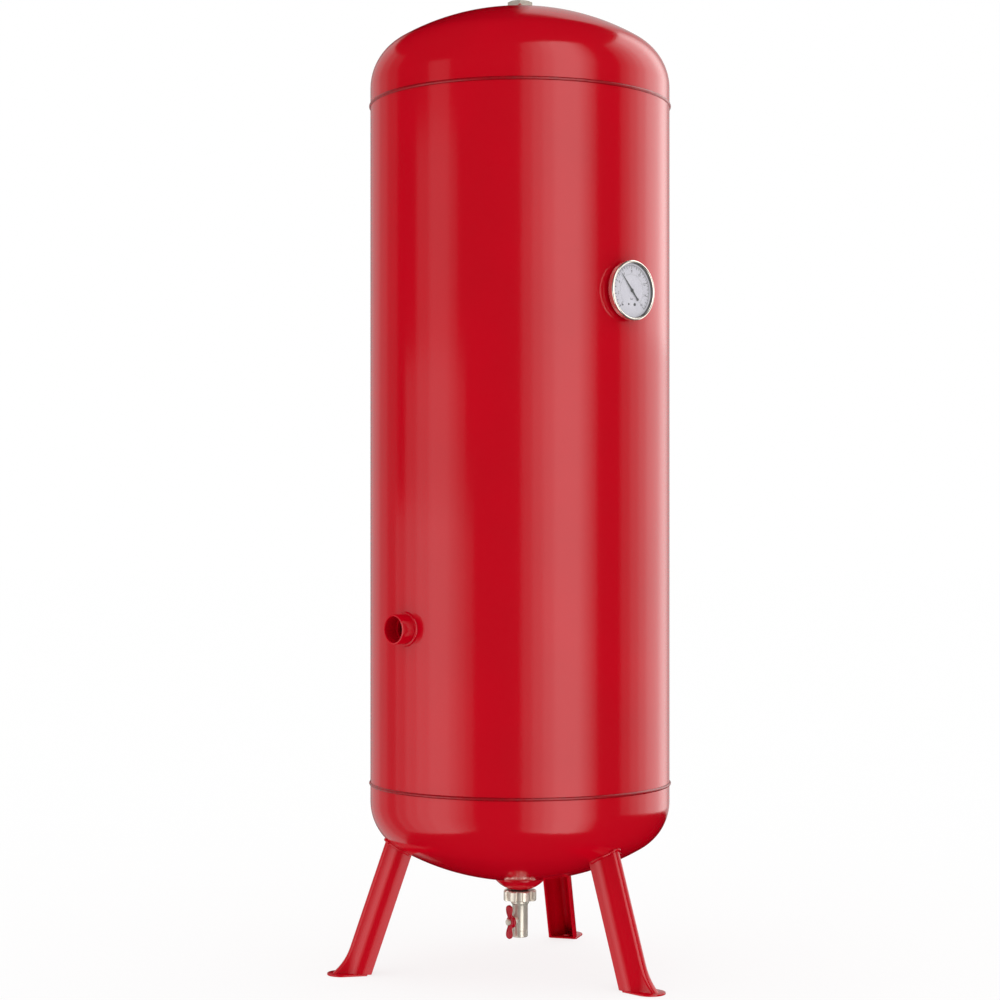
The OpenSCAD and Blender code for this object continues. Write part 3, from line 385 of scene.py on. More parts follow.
def grow(kind, source, finish="redPaint", **sizes):
    holder = bpy.data.objects.new("holder", source)
    bpy.context.scene.collection.objects.link(holder)
    step = holder.modifiers.new("grow", "NODES")
    step.node_group = trees[kind]
    sizes["Finish"] = made[finish]
    for socket in trees[kind].interface.items_tree:
        if socket.in_out == "INPUT" and socket.name in sizes:
            step[socket.identifier] = sizes[socket.name]
    view = bpy.context.evaluated_depsgraph_get()
    mesh = bpy.data.meshes.new_from_object(holder.evaluated_get(view))
    bpy.data.objects.remove(holder)
    return mesh


def lineMesh(points, closed):
    n = len(points)
    mesh = bpy.data.meshes.new("line")
    edges = [(i, (i + 1) % n) for i in range(n if closed else n - 1)]
    mesh.from_pydata([tuple(np.asarray(p, float) * mm) for p in points], edges, [])
    return mesh


def turned(outline, steps=96, place=None, angle=28):
    # outline is radius and height; one that starts and ends on the axis makes a solid
    closed = not (abs(outline[0][0]) < 1e-6 and abs(outline[-1][0]) < 1e-6)
    source = lineMesh([(r, -z, 0) for r, z in outline], closed)
    mesh = tidyMesh(grow("turned", source, Steps=steps), angle)
    return placed(mesh, place) if place else mesh


def bead(points, closed, size, step=3.4, depth=0.10):
    source = lineMesh(points, closed)
    return tidyMesh(grow("bead", source, Size=size * mm, Step=step * mm, Depth=depth), 60)


def thread(radius, pitch, turns, tip, place):
    # tip is negative for a thread inside a hole
    tooth = [(-math.copysign(0.2, tip), -pitch * 0.46, 0), (tip, -pitch * 0.06, 0), (tip, pitch * 0.06, 0),
             (-math.copysign(0.2, tip), pitch * 0.46, 0)]
    mesh = grow("thread", lineMesh(tooth, True), Radius=radius * mm, Pitch=pitch * mm, Turns=turns)
    return placed(tidyMesh(mesh, 20), place)


def arc(centre, radius, start, end, steps):
    return [(centre[0] + radius * math.cos(math.radians(start + (end - start) * i / steps)),
             centre[1] + radius * math.sin(math.radians(start + (end - start) * i / steps)))
            for i in range(steps + 1)]


vessel = dict(radius=250.0, wall=3.0, lower=309.369, upper=1437.369, steps=256)
head = dict(crown=405.0, knuckle=86.5, knuckleAt=163.5, drop=273.331, flange=30.0, wall=3.5)
ports = dict(inlet=572.369, outlet=1174.369, gauge=1111.369, hole=17.0, gaugeHole=13.1)
lean = math.asin(head["knuckleAt"] / (head["crown"] - head["knuckle"]))


def headHeight(r, skin=0.0):
    # height of the head's outer face over its weld, at a distance r from the axis
    r = min(r, vessel["radius"] - 1e-6)
    crown = head["crown"] + skin
    if r < crown * math.sin(lean):
        return head["flange"] - head["drop"] + math.sqrt(crown ** 2 - r ** 2)
    return head["flange"] + math.sqrt(max((head["knuckle"] + skin) ** 2 - (r - head["knuckleAt"]) ** 2, 0))


def headOutline(weldAt, sign, hole):
    def face(inward):
        crown, knuckle = head["crown"] - inward, head["knuckle"] - inward
        first = math.asin(hole / crown)
        points = [(crown * math.sin(a), head["flange"] - head["drop"] + crown * math.cos(a))
                  for a in np.linspace(first, lean, 34)]
        points += [(head["knuckleAt"] + knuckle * math.sin(a), head["flange"] + knuckle * math.cos(a))
                   for a in np.linspace(lean, math.pi / 2, 22)[1:]]
        return points + [(vessel["radius"] - inward, 0.0)]
    loop = face(0.0) + face(head["wall"])[::-1]
    return [(r, weldAt + sign * h) for r, h in loop]


def cutAcross(mesh, cutters):
    holder = bpy.data.objects.new("holder", mesh)
    bpy.context.scene.collection.objects.link(holder)
    tools = []
    for place, radius in cutters:
        tool = bpy.data.objects.new("cutter", turned([(0, 60), (radius, 60), (radius, 400), (0, 400)], 96,
                                                     place))
        bpy.context.scene.collection.objects.link(tool)
        tools.append(tool)
        step = holder.modifiers.new("hole", "BOOLEAN")
        step.operation, step.solver, step.object = "DIFFERENCE", "EXACT", tool
    view = bpy.context.evaluated_depsgraph_get()
    out = bpy.data.meshes.new_from_object(holder.evaluated_get(view))
    for extra in [holder, *tools]:
        bpy.data.objects.remove(extra)
    return out


def outOf(height, direction):
    # a place whose z points out of the shell at that height, with x up or down
    zAxis = Vector((math.cos(math.radians(direction)), math.sin(math.radians(direction)), 0))
    yAxis = Vector((0, 0, 1)).cross(zAxis)
    return frameAt(yAxis.cross(zAxis), yAxis, zAxis, (0, 0, height))


inletPlace, outletPlace = outOf(ports["inlet"], 180), outOf(ports["outlet"], 0)
gaugePortPlace = outOf(ports["gauge"], -90)
rowsUp = list(np.linspace(vessel["lower"], vessel["upper"], 49))
wallLoop = ([(vessel["radius"], z) for z in rowsUp]
            + [(vessel["radius"] - vessel["wall"], z) for z in rowsUp[::-1]])
shellMesh = cutAcross(turned(wallLoop, vessel["steps"]),
                      [(inletPlace, ports["hole"]), (outletPlace, ports["hole"]),
                       (gaugePortPlace, ports["gaugeHole"])])
piece("shellPlate", tidyMesh(shellMesh, 28), "redPaint", stands=["shell"])
piece("topHead", turned(headOutline(vessel["upper"], 1, 19.8), vessel["steps"]), "redPaint",
      stands=["top_head"])
piece("bottomHead", turned(headOutline(vessel["lower"], -1, 10.8), vessel["steps"]), "redPaint",
      stands=["bottom_head"])
print("vessel made")

weld = dict(girth=3.075, girthIn=0.675, seam=2.75, seamIn=1.25, seamAt=50.0, seamClear=3.3,
            saddle=3.3, saddleR=25.0, top=2.9, topR=20.6, leg=3.1)


def circlePath(radius, height, steps=360):
    return [(radius * math.cos(tau * i / steps), radius * math.sin(tau * i / steps), height)
            for i in range(steps)]


girthR = vessel["radius"] - weld["girthIn"]
for name, height, node in (("lowerGirthWeld", vessel["lower"], "lower_girth_weld"),
                           ("upperGirthWeld", vessel["upper"], "upper_girth_weld")):
    # the girth beads take the darker red that paints in the shade of the crevice
    piece(name, bead(circlePath(girthR, height), True, weld["girth"], depth=0.06), "weldPaintedShade",
          stands=[node])
seamR = vessel["radius"] - weld["seamIn"]
seamTurn = math.radians(weld["seamAt"])
seamX, seamY = seamR * math.cos(seamTurn), seamR * math.sin(seamTurn)
seamEnds = [(seamX, seamY, vessel["lower"] + weld["seamClear"]),
            (seamX, seamY, vessel["upper"] - weld["seamClear"])]
piece("longSeamWeld", bead(seamEnds, False, weld["seam"], depth=0.08), "redPaint", stands=["long_seam_weld"])


def saddlePath(side, height, around, out=0.4):
    points = []
    for i in range(120):
        a = tau * i / 120
        y = around * math.cos(a)
        points.append((side * math.sqrt((vessel["radius"] + out) ** 2 - y * y), y,
                       height + around * math.sin(a)))
    return points


topAt = vessel["upper"] + headHeight(weld["topR"] + 0.2)
piece("socketWelds", joined(
    bead(saddlePath(-1, ports["inlet"], weld["saddleR"]), True, weld["saddle"]),
    bead(saddlePath(1, ports["outlet"], weld["saddleR"]), True, weld["saddle"]),
    bead(circlePath(weld["topR"], topAt + 0.2, 120), True, weld["top"])), "redPaint", stands=["socket_welds"])

socket = dict(outside=24.15, major=20.955, minor=19.476, mouth=276.0, sunk=248.3, pitch=2.309, turns=9.2,
              land=252.5, passage=17.0)


def socketMesh(place):
    s = socket
    rim = s["mouth"]
    loop = [(s["outside"], s["sunk"]), (s["outside"], rim - 1.2), (s["outside"] - 0.35, rim - 0.35),
            (s["outside"] - 1.2, rim), (s["major"] + 0.9, rim), (s["major"], rim - 0.9),
            (s["major"], s["land"]), (s["passage"], s["land"]), (s["passage"], s["sunk"])]
    ridge = placed(thread(s["major"], s["pitch"], s["turns"], s["minor"] - s["major"],
                          Matrix.Translation((0, 0, (rim - 1.6 - s["pitch"] * s["turns"]) * mm))), place)
    return joined(turned(loop, 128, place), ridge)


piece("inletSocket", socketMesh(inletPlace), "redPaint", stands=["inlet_socket"])
piece("outletSocket", socketMesh(outletPlace), "redPaint", stands=["outlet_socket"])
topPort = dict(outside=19.75, bore=16.65, low=1585.04, face=1603.54, chamfer=0.79, seal=1.5)
out, bore, face = topPort["outside"], topPort["bore"], topPort["face"]
piece("topSocket", turned([(out, topPort["low"]), (out, face - topPort["chamfer"]), (out - 0.8, face),
                           (bore + 0.75, face), (bore, face - topPort["chamfer"]), (bore, topPort["low"])],
                          128), "redPaint", stands=["top_socket"])
print("welds and sockets made")

plug = dict(flats=41.0, low=topPort["face"] + topPort["seal"], height=10.0, bevel=2.87, turn=47.0,
            threadLow=1583.55)
corner = plug["flats"] / 2 / math.cos(math.pi / 6)


def plugRadius(angle, z):
    up = z - plug["low"]
    top = plug["height"] - up
    cone = min(plug["flats"] / 2 + (corner - plug["flats"] / 2) * up / plug["bevel"],
               plug["flats"] / 2 - plug["bevel"] + (corner - plug["flats"] / 2 + plug["bevel"])
               * top / plug["bevel"])
    return min(hexRadius(plug["flats"], angle), cone)


bevelSteps = list(np.linspace(0, plug["bevel"], 9))
plugHeights = [plug["low"] + b for b in bevelSteps] + [plug["low"] + plug["height"] - b
                                                       for b in bevelSteps[::-1]]
plugTop = plug["low"] + plug["height"]
piece("topPlug", joined(
    polarRing(plugRadius, plugHeights, 6.0, plug["turn"]),
    turned([(0, plug["low"] + 0.2), (6.4, plug["low"] + 0.2), (6.4, plugTop - 0.7), (5.4, plugTop - 0.35),
            (0, plugTop - 0.35)], 96),
    turned([(0, plug["threadLow"]), (15.6, plug["threadLow"]), (16.3, plug["threadLow"] + 1),
            (16.3, plug["low"] + 0.5), (0, plug["low"] + 0.5)], 96)),
    "nickelPlate", stands=["top_plug"])
sealLoop = [(16.8, 0), (19.4, 0), (19.75, 0.31), (19.75, 1.21), (19.4, topPort["seal"]),
            (16.8, topPort["seal"])]
piece("plugWasher", turned([(r, topPort["face"] + h) for r, h in sealLoop], 96), "sealRubber",
      stands=["plug_washer"])

drain = dict(bossLow=130.0, bossR=55.0, bossCentre=182.3, bossEdge=42.0, bossFlat=17.0, bore=10.9, stem=77.0,
             ringLow=111.0, ringHigh=128.0, root=23.5, lug=28.0, lugs=8, body=13.0, collar=15.0,
             endLow=50.0, endHigh=61.0, threadMajor=10.4775, threadMinor=9.3155, threadPitch=1.814)
flatAngle = math.degrees(math.asin(drain["bossFlat"] / drain["bossR"]))
edgeAngle = math.degrees(math.asin((drain["bossEdge"] - 0.6) / drain["bossR"]))
bossLoop = [(drain["bore"], drain["bossLow"])]
bossLoop += arc((0, drain["bossCentre"]), drain["bossR"], -90 + flatAngle, -90 + edgeAngle, 24)
edgeZ = bossLoop[-1][1]
bossLoop += [(drain["bossEdge"], edgeZ + 1.0), (drain["bossEdge"], 151.2), (drain["bore"], 149.2)]
piece("drainBoss", turned(bossLoop, 160), "redPaint", stands=["drain_boss"])
sealLow, sealHigh = drain["ringHigh"], drain["bossLow"]
piece("drainWasher", turned([(11.1, sealLow), (14.5, sealLow), (14.9, sealLow + 0.4), (14.9, sealHigh - 0.4),
                             (14.5, sealHigh), (11.1, sealHigh)], 96), "sealRubber", stands=["drain_washer"])


def ringRadius(angle, z):
    # eight lugs with gripping gaps between them, chamfered at both faces
    turn = (angle - tau / 16) % (tau / drain["lugs"])
    off = min(turn, tau / drain["lugs"] - turn) / math.radians(11.25)
    lift = min(max((1.12 - off) / 0.24, 0), 1)
    lift = lift * lift * (3 - 2 * lift)
    edge = min(z - drain["ringLow"], drain["ringHigh"] - z)
    return drain["root"] + (drain["lug"] - drain["root"]) * lift - max(1.4 - edge, 0)


ringHeights = [drain["ringLow"] + h for h in (0, 0.5, 1.0, 1.4, 4.0, 8.5, 13.0, 15.6, 16.0, 16.5, 17.0)]
piece("drainRingNut", polarRing(ringRadius, ringHeights, drain["bore"], 0.0, 384), "nickelPlate",
      stands=["drain_ring_nut"])

stemPlace = frameAt((0, 0, 1), (0, 1, 0), (-1, 0, 0), (0, 0, drain["stem"]))
body, collar, joint = drain["body"], drain["collar"], drain["endHigh"]
bodyLoop = [(10.3, joint + 0.05), (body - 0.25, joint + 0.05), (body, joint + 0.3), (body, 103.6),
            (13.5, 104.6), (collar, 106.6), (collar, 110.2), (collar - 0.8, drain["ringLow"]),
            (10.45, drain["ringLow"]), (10.45, 146.0), (5.2, 146.0), (5.2, 88.0), (10.3, 87.0)]
piece("valveBody", joined(
    turned(bodyLoop, 128),
    turned([(4.1, 10.8), (8.6, 10.8), (8.4, 14.2), (8.0, 14.8), (8.0, 16.9), (7.4, 17.5), (4.1, 17.5)], 96,
           stemPlace)), "nickelPlate", stands=["valve_body"])
endLow, major = drain["endLow"], drain["threadMajor"]
endLoop = [(major + 0.5, endLow), (body - 0.7, endLow), (body, endLow + 0.7), (body, joint - 0.3),
           (body - 0.25, joint - 0.05), (10.1, joint - 0.05), (5.2, joint - 0.05), (5.2, joint - 1.0),
           (major, joint - 1.0), (major, endLow + 0.5)]
piece("valveEnd", joined(turned(endLoop, 128), thread(
    drain["threadMajor"], drain["threadPitch"], 4.6, drain["threadMinor"] - drain["threadMajor"],
    Matrix.Translation((0, 0, (endLow + 1.3) * mm)))), "nickelPlate", stands=["valve_end"])

# the handle is two lobes pinched at the hub
grip = dict(hub=10.5, hubLow=17.8, hubHigh=24.8, low=18.8, high=23.8, half=28.5, nutHigh=4.0, bore=3.1,
            edge=2.4, wingOut=3.0, bendFrom=6.0, bendTo=14.0)
spots = [0.0, 8.0, 11.5, 15.0, 20.0, 24.0, 26.6, 28.0, grip["half"]]
halves = [6.2, 6.0, 5.4, 6.2, 7.4, 6.9, 5.2, 2.6, 0.0]
tip = grip["half"] - 24.0
fineU = np.concatenate([np.linspace(0, 24, 33),
                        grip["half"] - tip * np.cos(np.linspace(0, math.pi / 2, 12)[1:])])
smooth = np.interp(fineU, spots, halves)
for _ in range(2):
    smooth[1:-1] = (smooth[:-2] + 2 * smooth[1:-1] + smooth[2:]) / 4
quarter = list(zip(fineU, smooth))
gripLine = (quarter + [(u, -v) for u, v in quarter[-2::-1]] + [(-u, -v) for u, v in quarter[1:]]
            + [(-u, v) for u, v in quarter[-2:0:-1]])
hubLoop = ([(grip["bore"], grip["hubLow"]), (9.6, grip["hubLow"]), (grip["hub"], 18.7)]
           + [(grip["hub"] * math.cos(a) ** 0.6, 19.4 + 5.4 * math.sin(a)) for a in np.linspace(0, 1.18, 12)]
           + [(6.0, grip["hubHigh"]), (grip["bore"], grip["hubHigh"])])
wings = slab(gripLine, grip["low"], grip["high"], grip["edge"], grip["bore"], rounds=5)
for point in wings.vertices:
    share = (abs(point.co.x) / mm - grip["bendFrom"]) / (grip["bendTo"] - grip["bendFrom"])
    share = min(max(share, 0), 1)
    point.co.z += grip["wingOut"] * mm * share * share * (3 - 2 * share)
piece("drainHandle", joined(
    placed(wings, stemPlace),
    turned(hubLoop, 96, stemPlace)), "handleRed", "valve_rotor", stands=["valve_handle"])


def nutRadius(angle, z):
    up = min(z - grip["hubHigh"], grip["hubHigh"] + grip["nutHigh"] - z)
    return min(hexRadius(10.0, angle), 4.75 + up * 1.5)


nutHeights = [grip["hubHigh"] + h for h in (0, 0.15, 0.3, 0.45, 0.6, 0.8, 3.2, 3.4, 3.55, 3.7, 3.85,
                                        grip["nutHigh"])]
piece("handleNut", placed(polarRing(nutRadius, nutHeights, 3.05, 0.0), stemPlace), "nickelPlate",
      "valve_rotor", stands=["handle_nut"])
print("drain made")

leg = dict(tilt=19.0, nose=302.0, depth=43.5, side=21.0, width=48.0, noseWidth=10.0, sheet=3.0,
           flareHigh=45.0, flareOut=15.0, footIn=262.0, tip=325.0, footWidth=50.0, anchor=281.0)
tilt = math.radians(leg["tilt"])


def legSection():
    # half outline from the back edge to the nose, with its two bends rounded, joined to its mirror image
    d, w, n = leg["depth"], leg["width"] / 2, leg["noseWidth"] / 2
    corners = [Vector((-d, w)), Vector((-d + leg["side"], w)), Vector((0, n)), Vector((0, 0))]
    points = [corners[0], corners[0].lerp(corners[1], 0.25)]
    for before, at, after, r in ((corners[0], corners[1], corners[2], 28.0),
                                 (corners[1], corners[2], Vector((0, -n)), 9.0)):
        first, second = (before - at).normalized(), (after - at).normalized()
        half = first.angle(second) / 2
        reach = min(r / math.tan(half), 0.45 * (after - at).length)
        r = reach * math.tan(half)
        centre = at + (first + second).normalized() * (r / math.sin(half))
        start, end = at + first * reach - centre, at + second * reach - centre
        sweep = start.angle_signed(end)
        for i in range(9):
            turn = Matrix.Rotation(-sweep * i / 8, 2)
            points.append(centre + turn @ start)
        points.append(points[-1].lerp(after if after.x < -1 else Vector((0, 0)), 0.5))
    half = [(p.x, p.y) for p in points[:-1]] + [(0.0, 0.0)]
    return half + [(x, -y) for x, y in half[-2::-1]]


def onHead(x, y, skin=0.0):
    # height at which a line of the leg, at x and y of its section, reaches the bottom head
    low, high = 100.0, 300.0
    for _ in range(40):
        z = (low + high) / 2
        r = leg["nose"] + x / math.cos(tilt) - z * math.tan(tilt)
        gap = vessel["lower"] - headHeight(math.hypot(r, y), skin) - z
        low, high = (z, high) if gap > 0 else (low, z)
    return low


def legSpot(x, y, z):
    return leg["nose"] + x / math.cos(tilt) - z * math.tan(tilt), y, z


def turnedAbout(angle):
    return Matrix.Rotation(math.radians(angle), 4, "Z")


def legSheet():
    section = legSection()
    rows = []
    for share in np.r_[np.linspace(0, 0.30, 16), np.linspace(0.30, 1, 14)[1:]]:
        row = []
        for x, y in section:
            top = onHead(x, y) + 1.6
            z = 2.0 + (top - 2.0) * share
            reach = min(max((z - 3.0) / leg["flareHigh"], 0), 1)
            nose = min(max((x + 14.0) / 14.0, 0), 1)
            nose = nose * nose * (3 - 2 * nose)
            flare = leg["flareOut"] * (1 - reach) ** 2.6 * nose
            r, side, z = legSpot(x, y, z)
            row.append((r + flare, side, z))
        rows.append(row)
    points, faces = loft(rows, caps=False)
    n = len(section)
    faces = [face for face in faces if not (face[0] % n == n - 1)]     # open at the back
    mesh = bpy.data.meshes.new("leg")
    mesh.from_pydata([tuple(np.array(p) * mm) for p in points], [], faces)
    work = bmesh.new()
    work.from_mesh(mesh)
    work.normal_update()
    middle = [face for face in work.faces if abs(face.calc_center_median().y) < 0.002]
    if sum(face.normal.x for face in middle) < 0:
        bmesh.ops.reverse_faces(work, faces=work.faces)
    work.to_mesh(mesh)
    work.free()
    holder = bpy.data.objects.new("holder", mesh)
    bpy.context.scene.collection.objects.link(holder)
    wall = holder.modifiers.new("sheet", "SOLIDIFY")
    wall.thickness, wall.offset, wall.use_even_offset = leg["sheet"] * mm, -1.0, True
    round_ = holder.modifiers.new("edge", "BEVEL")
    round_.width, round_.segments, round_.limit_method = 0.6 * mm, 2, "ANGLE"
    round_.angle_limit = math.radians(60)
    view = bpy.context.evaluated_depsgraph_get()
    mesh = bpy.data.meshes.new_from_object(holder.evaluated_get(view))
    bpy.data.objects.remove(holder)
    return tidyMesh(mesh, 40)


def footPlate():
    half = leg["footWidth"] / 2
    centre = leg["tip"] - half
    outline = [(centre + half * math.cos(a), half * math.sin(a))
               for a in np.linspace(-math.pi / 2, math.pi / 2, 41)]
    outline += [(x, half) for x in np.linspace(centre, leg["footIn"] + 2.5, 8)[1:]]
    outline += arc((leg["footIn"] + 2.5, half - 2.5), 2.5, 90, 180, 5)[1:]
    outline += [(leg["footIn"], y) for y in np.linspace(half - 2.5, 2.5 - half, 12)[1:]]
    outline += arc((leg["footIn"] + 2.5, 2.5 - half), 2.5, 180, 270, 5)[1:]
    outline += [(x, -half) for x in np.linspace(leg["footIn"] + 2.5, centre, 8)[1:-1]]
    return slab(outline, 0.0, 3.0, 0.8, 6.0, (leg["anchor"], 0))


def legBead():
    section = [p for p in legSection() if p[0] > -leg["depth"] + 1]
    points = []
    for x, y in section:
        z = onHead(x, y, 0.6)
        r, side, z = legSpot(x, y, z)
        away = Vector((x + 20.0, y)).normalized() * 0.9
        points.append((r + away.x, side + away.y, z))
    return bead(points, False, weld["leg"])


oneLeg = joined(legSheet(), footPlate())
for name, angle, node in (("frontLeg", -90, "leg_front"), ("rightLeg", 30, "leg_right"),
                          ("leftLeg", 150, "leg_left")):
    piece(name, placed(oneLeg.copy(), turnedAbout(angle)), "redPaint", stands=[node])
oneBead = legBead()
piece("legWelds", joined(*[placed(oneBead.copy(), turnedAbout(a)) for a in (-90, 30, 150)]), "redPaint",
      stands=["leg_welds"])
print("legs made")

# the gauge has x right and y up as it is read, and z out to the reader
gauge = dict(case=45.8, caseHigh=10.2, bezel=48.0, dial=44.5, dialLow=7.6, dialHigh=8.2, scale=39.5,
             sweep=135.0, bars=16, needleAt=42.0)
case, caseHigh, dial = gauge["case"], gauge["caseHigh"], gauge["dial"]
gaugePlace = frameAt((1, 0, 0), (0, 0, 1), (0, -1, 0), (0, -252.0, ports["gauge"]))
caseLoop = [(0, 0), (44.2, 0), (case, 1.6), (case, caseHigh), (case - 1, caseHigh), (44.8, 2.4), (44.0, 1.0),
            (0, 1.0)]
piece("gaugeCase", turned(caseLoop, 160, gaugePlace), "polishedSteel", stands=["gauge_case"])
bezelLoop = [(45.95, 6.5), (gauge["bezel"] - 0.5, 6.5), (gauge["bezel"], 7.0)]
bezelLoop += [(45.6 + 2.4 * math.cos(a), 11.4 + 2.6 * math.sin(a)) for a in np.linspace(0, math.pi / 2, 14)]
bezelLoop += [(44.8, 13.85), (44.0, 13.35), (44.0, 13.0), (45.95, 13.0)]
piece("gaugeBezel", turned(bezelLoop, 160, gaugePlace), "polishedSteel", stands=["gauge_bezel"])
piece("gaugeWindow", turned([(0, 11.25), (45.5, 11.25), (45.7, 11.5), (45.7, 12.7), (45.5, 12.95),
                             (0, 12.95)], 128, gaugePlace), "windowGlass", stands=["gauge_window"])
gasketLoop = [(43.4, 8.25), (44.7, 8.25), (44.7, 10.25), (45.7, 10.25), (45.7, 11.2), (43.4, 11.2)]
piece("windowGasket", turned(gasketLoop, 128, gaugePlace), "sealRubber", stands=["window_gasket"])
dialLow, dialHigh = gauge["dialLow"], gauge["dialHigh"]
piece("gaugeDial", turned([(0, dialLow), (dial - 0.2, dialLow), (dial, dialLow + 0.15),
                           (dial, dialHigh - 0.15), (dial - 0.2, dialHigh), (0, dialHigh)], 128,
                          gaugePlace), "dialWhite", stands=["gauge_dial"])


def mark(wide, start, end, thick=0.08):
    # one stroke of the scale, pointing up, on the dial's face
    z = gauge["dialHigh"] - 0.02
    return meshOf(*loft([[(-wide / 2, start, h), (wide / 2, start, h), (wide / 2, end, h),
                          (-wide / 2, end, h)] for h in (z, z + thick)]))


def marks(stroke, count):
    first = math.radians(gauge["sweep"])
    return grow("around", stroke, "pointerBlack", Count=count, First=first, Step=-2 * first / (count - 1))


def writing(text, size, x, y):
    words = bpy.data.curves.new("words", "FONT")
    words.body, words.size, words.extrude = text, size * mm, 0.03 * mm
    words.align_x, words.align_y = "CENTER", "CENTER"
    words.resolution_u = 3
    holder = bpy.data.objects.new("holder", words)
    bpy.context.scene.collection.objects.link(holder)
    view = bpy.context.evaluated_depsgraph_get()
    mesh = bpy.data.meshes.new_from_object(holder.evaluated_get(view))
    bpy.data.objects.remove(holder)
    mesh = tidyMesh(mesh)
    mesh.transform(Matrix.Translation((x * mm, y * mm, (gauge["dialHigh"] + 0.03) * mm)))
    return mesh


s = gauge["scale"]
scaleParts = [marks(mark(0.9, s - 5.0, s), 17), marks(mark(0.5, s - 3.6, s), 33),
              marks(mark(0.3, s - 2.4, s), 81), marks(mark(0.35, s - 14.5, s - 12.6), 47)]
for value in range(0, gauge["bars"] + 1, 2):
    a = math.radians(90 + gauge["sweep"] * (1 - 2 * value / gauge["bars"]))
    scaleParts.append(writing(str(value), 6.2, (s - 9.0) * math.cos(a), (s - 9.0) * math.sin(a)))
scaleParts.append(writing("bar", 5.2, 0, -13.5))
piece("dialScale", placed(joined(*scaleParts), gaugePlace), "pointerBlack")
arcLine = marks(mark(1.35, s + 0.25, s + 0.75), 190)
piece("dialArc", placed(arcLine, gaugePlace), "pointerBlack")

needle = [(-1.0, -20.5), (1.0, -20.5), (1.25, -8.0), (1.6, 0), (1.1, 14.0), (0.3, 35.0), (-0.3, 35.0),
          (-1.1, 14.0), (-1.6, 0), (-1.25, -8.0)]
needleTurn = gaugePlace @ Matrix.Rotation(math.radians(gauge["needleAt"]), 4, "Z")
tailDisc = turned([(0, 9.4), (2.1, 9.4), (2.3, 9.5), (2.3, 9.8), (2.1, 9.9), (0, 9.9)], 32,
                  Matrix.Translation((0, -18.2 * mm, 0)))
piece("gaugePointer", joined(
    placed(slab(needle, 9.4, 9.85, 0.08, rounds=1), needleTurn), placed(tailDisc, needleTurn),
    turned([(0, 8.9), (3.0, 8.9), (3.0, 9.8), (2.6, 10.2), (1.4, 10.35), (1.2, 10.15), (0, 10.15)], 48,
           needleTurn)), "pointerBlack", "pointer", stands=["gauge_pointer"])
screwHead = joined(*[turned([(0, 8.2), (r, 8.2), (r, 8.65), (r * 0.75, 8.95), (0, 9.05)], 32,
                            Matrix.Translation((x * mm, -22 * mm, 0))) for x, r in ((-6.7, 1.4), (6.7, 2.3))])
piece("dialScrews", placed(screwHead, gaugePlace), "pointerBlack", stands=["dial_screws"])
print("gauge made")

# the data plate is blank
label = dict(wide=90.0, high=60.0, back=10.0, face=11.0, inset=7.0)
platePlace = frameAt((-1, 0, 0), (0, 0, 1), (0, 1, 0), (0, 250.0, 1069.369))
frameLines = []
for y in (21.0, 9.0, -3.0, -15.0):
    frameLines.append(slab([(-35.0, y - 0.25), (35.0, y - 0.25), (35.0, y + 0.25), (-35.0, y + 0.25)],
                           10.9, 11.08, 0.05, rounds=1))
for x in (-35.0, -8.0, 35.0):
    frameLines.append(slab([(x - 0.25, -15), (x + 0.25, -15), (x + 0.25, 21), (x - 0.25, 21)], 10.9, 11.08,
                           0.05, rounds=1))
plateMesh = slab(roundedBox(label["wide"], label["high"], 3.0), label["back"], label["face"], 0.2, rounds=2)
piece("dataPlate", placed(plateMesh, platePlace), "plateAluminium", stands=["data_plate"])
piece("dataPlateFields", placed(joined(*frameLines), platePlace), "pointerBlack")
rivet = turned([(0, 7.2), (2.0, 7.2), (2.0, 11.0), (3.9, 11.0), (4.0, 11.3), (3.5, 12.2), (2.4, 12.8),
                (1.2, 13.0), (0, 13.0)], 32)
rivets = grow("corners", rivet, "rivetAluminium", Wide=(label["wide"] - 2 * label["inset"]) * mm,
              High=(label["high"] - 2 * label["inset"]) * mm)
piece("plateRivets", placed(tidyMesh(rivets), platePlace), "rivetAluminium", stands=["plate_rivets"])
print("data plate made")

stage = dict(floor=1.0, glow=0.8, world=1.0, reach=40.0, lightAway=2.5)


def floorFinish():
    material = bpy.data.materials.new("floorPaper")
    material.use_nodes = True
    bench = Bench(material.node_tree)
    shader = material.node_tree.nodes["Principled BSDF"]
    where = bench.node("ShaderNodeTexCoord", out="Object")
    cloud = bench.node("ShaderNodeTexNoise", None, {"Vector": where, "Scale": 3.0, "Detail": 2.0})
    pale = stage["floor"] * (1 - stage["glow"])
    bench.fill(shader.inputs["Base Color"],
               bench.blendColours(cloud, (pale, pale, pale), (pale - 0.004, pale - 0.004, pale - 0.004)))
    shader.inputs["Emission Color"].default_value = (1, 1, 1, 1)
    shader.inputs["Emission Strength"].default_value = stage["glow"]
    shader.inputs["Roughness"].default_value = 1.0
    shader.inputs["Specular IOR Level"].default_value = 0.0
    return material


made["floorPaper"] = floorFinish()
floorMesh = bpy.data.meshes.new("floor")
ringPoints = [(stage["reach"] * math.cos(tau * i / 64), stage["reach"] * math.sin(tau * i / 64), -0.0002)
              for i in range(64)]
floorMesh.from_pydata(ringPoints, [], [tuple(range(64))])
floorMesh.materials.append(made["floorPaper"])
floor = bpy.data.objects.new("floor", floorMesh)
bpy.context.scene.collection.objects.link(floor)
floor.visible_glossy = False
floor.visible_shadow = False

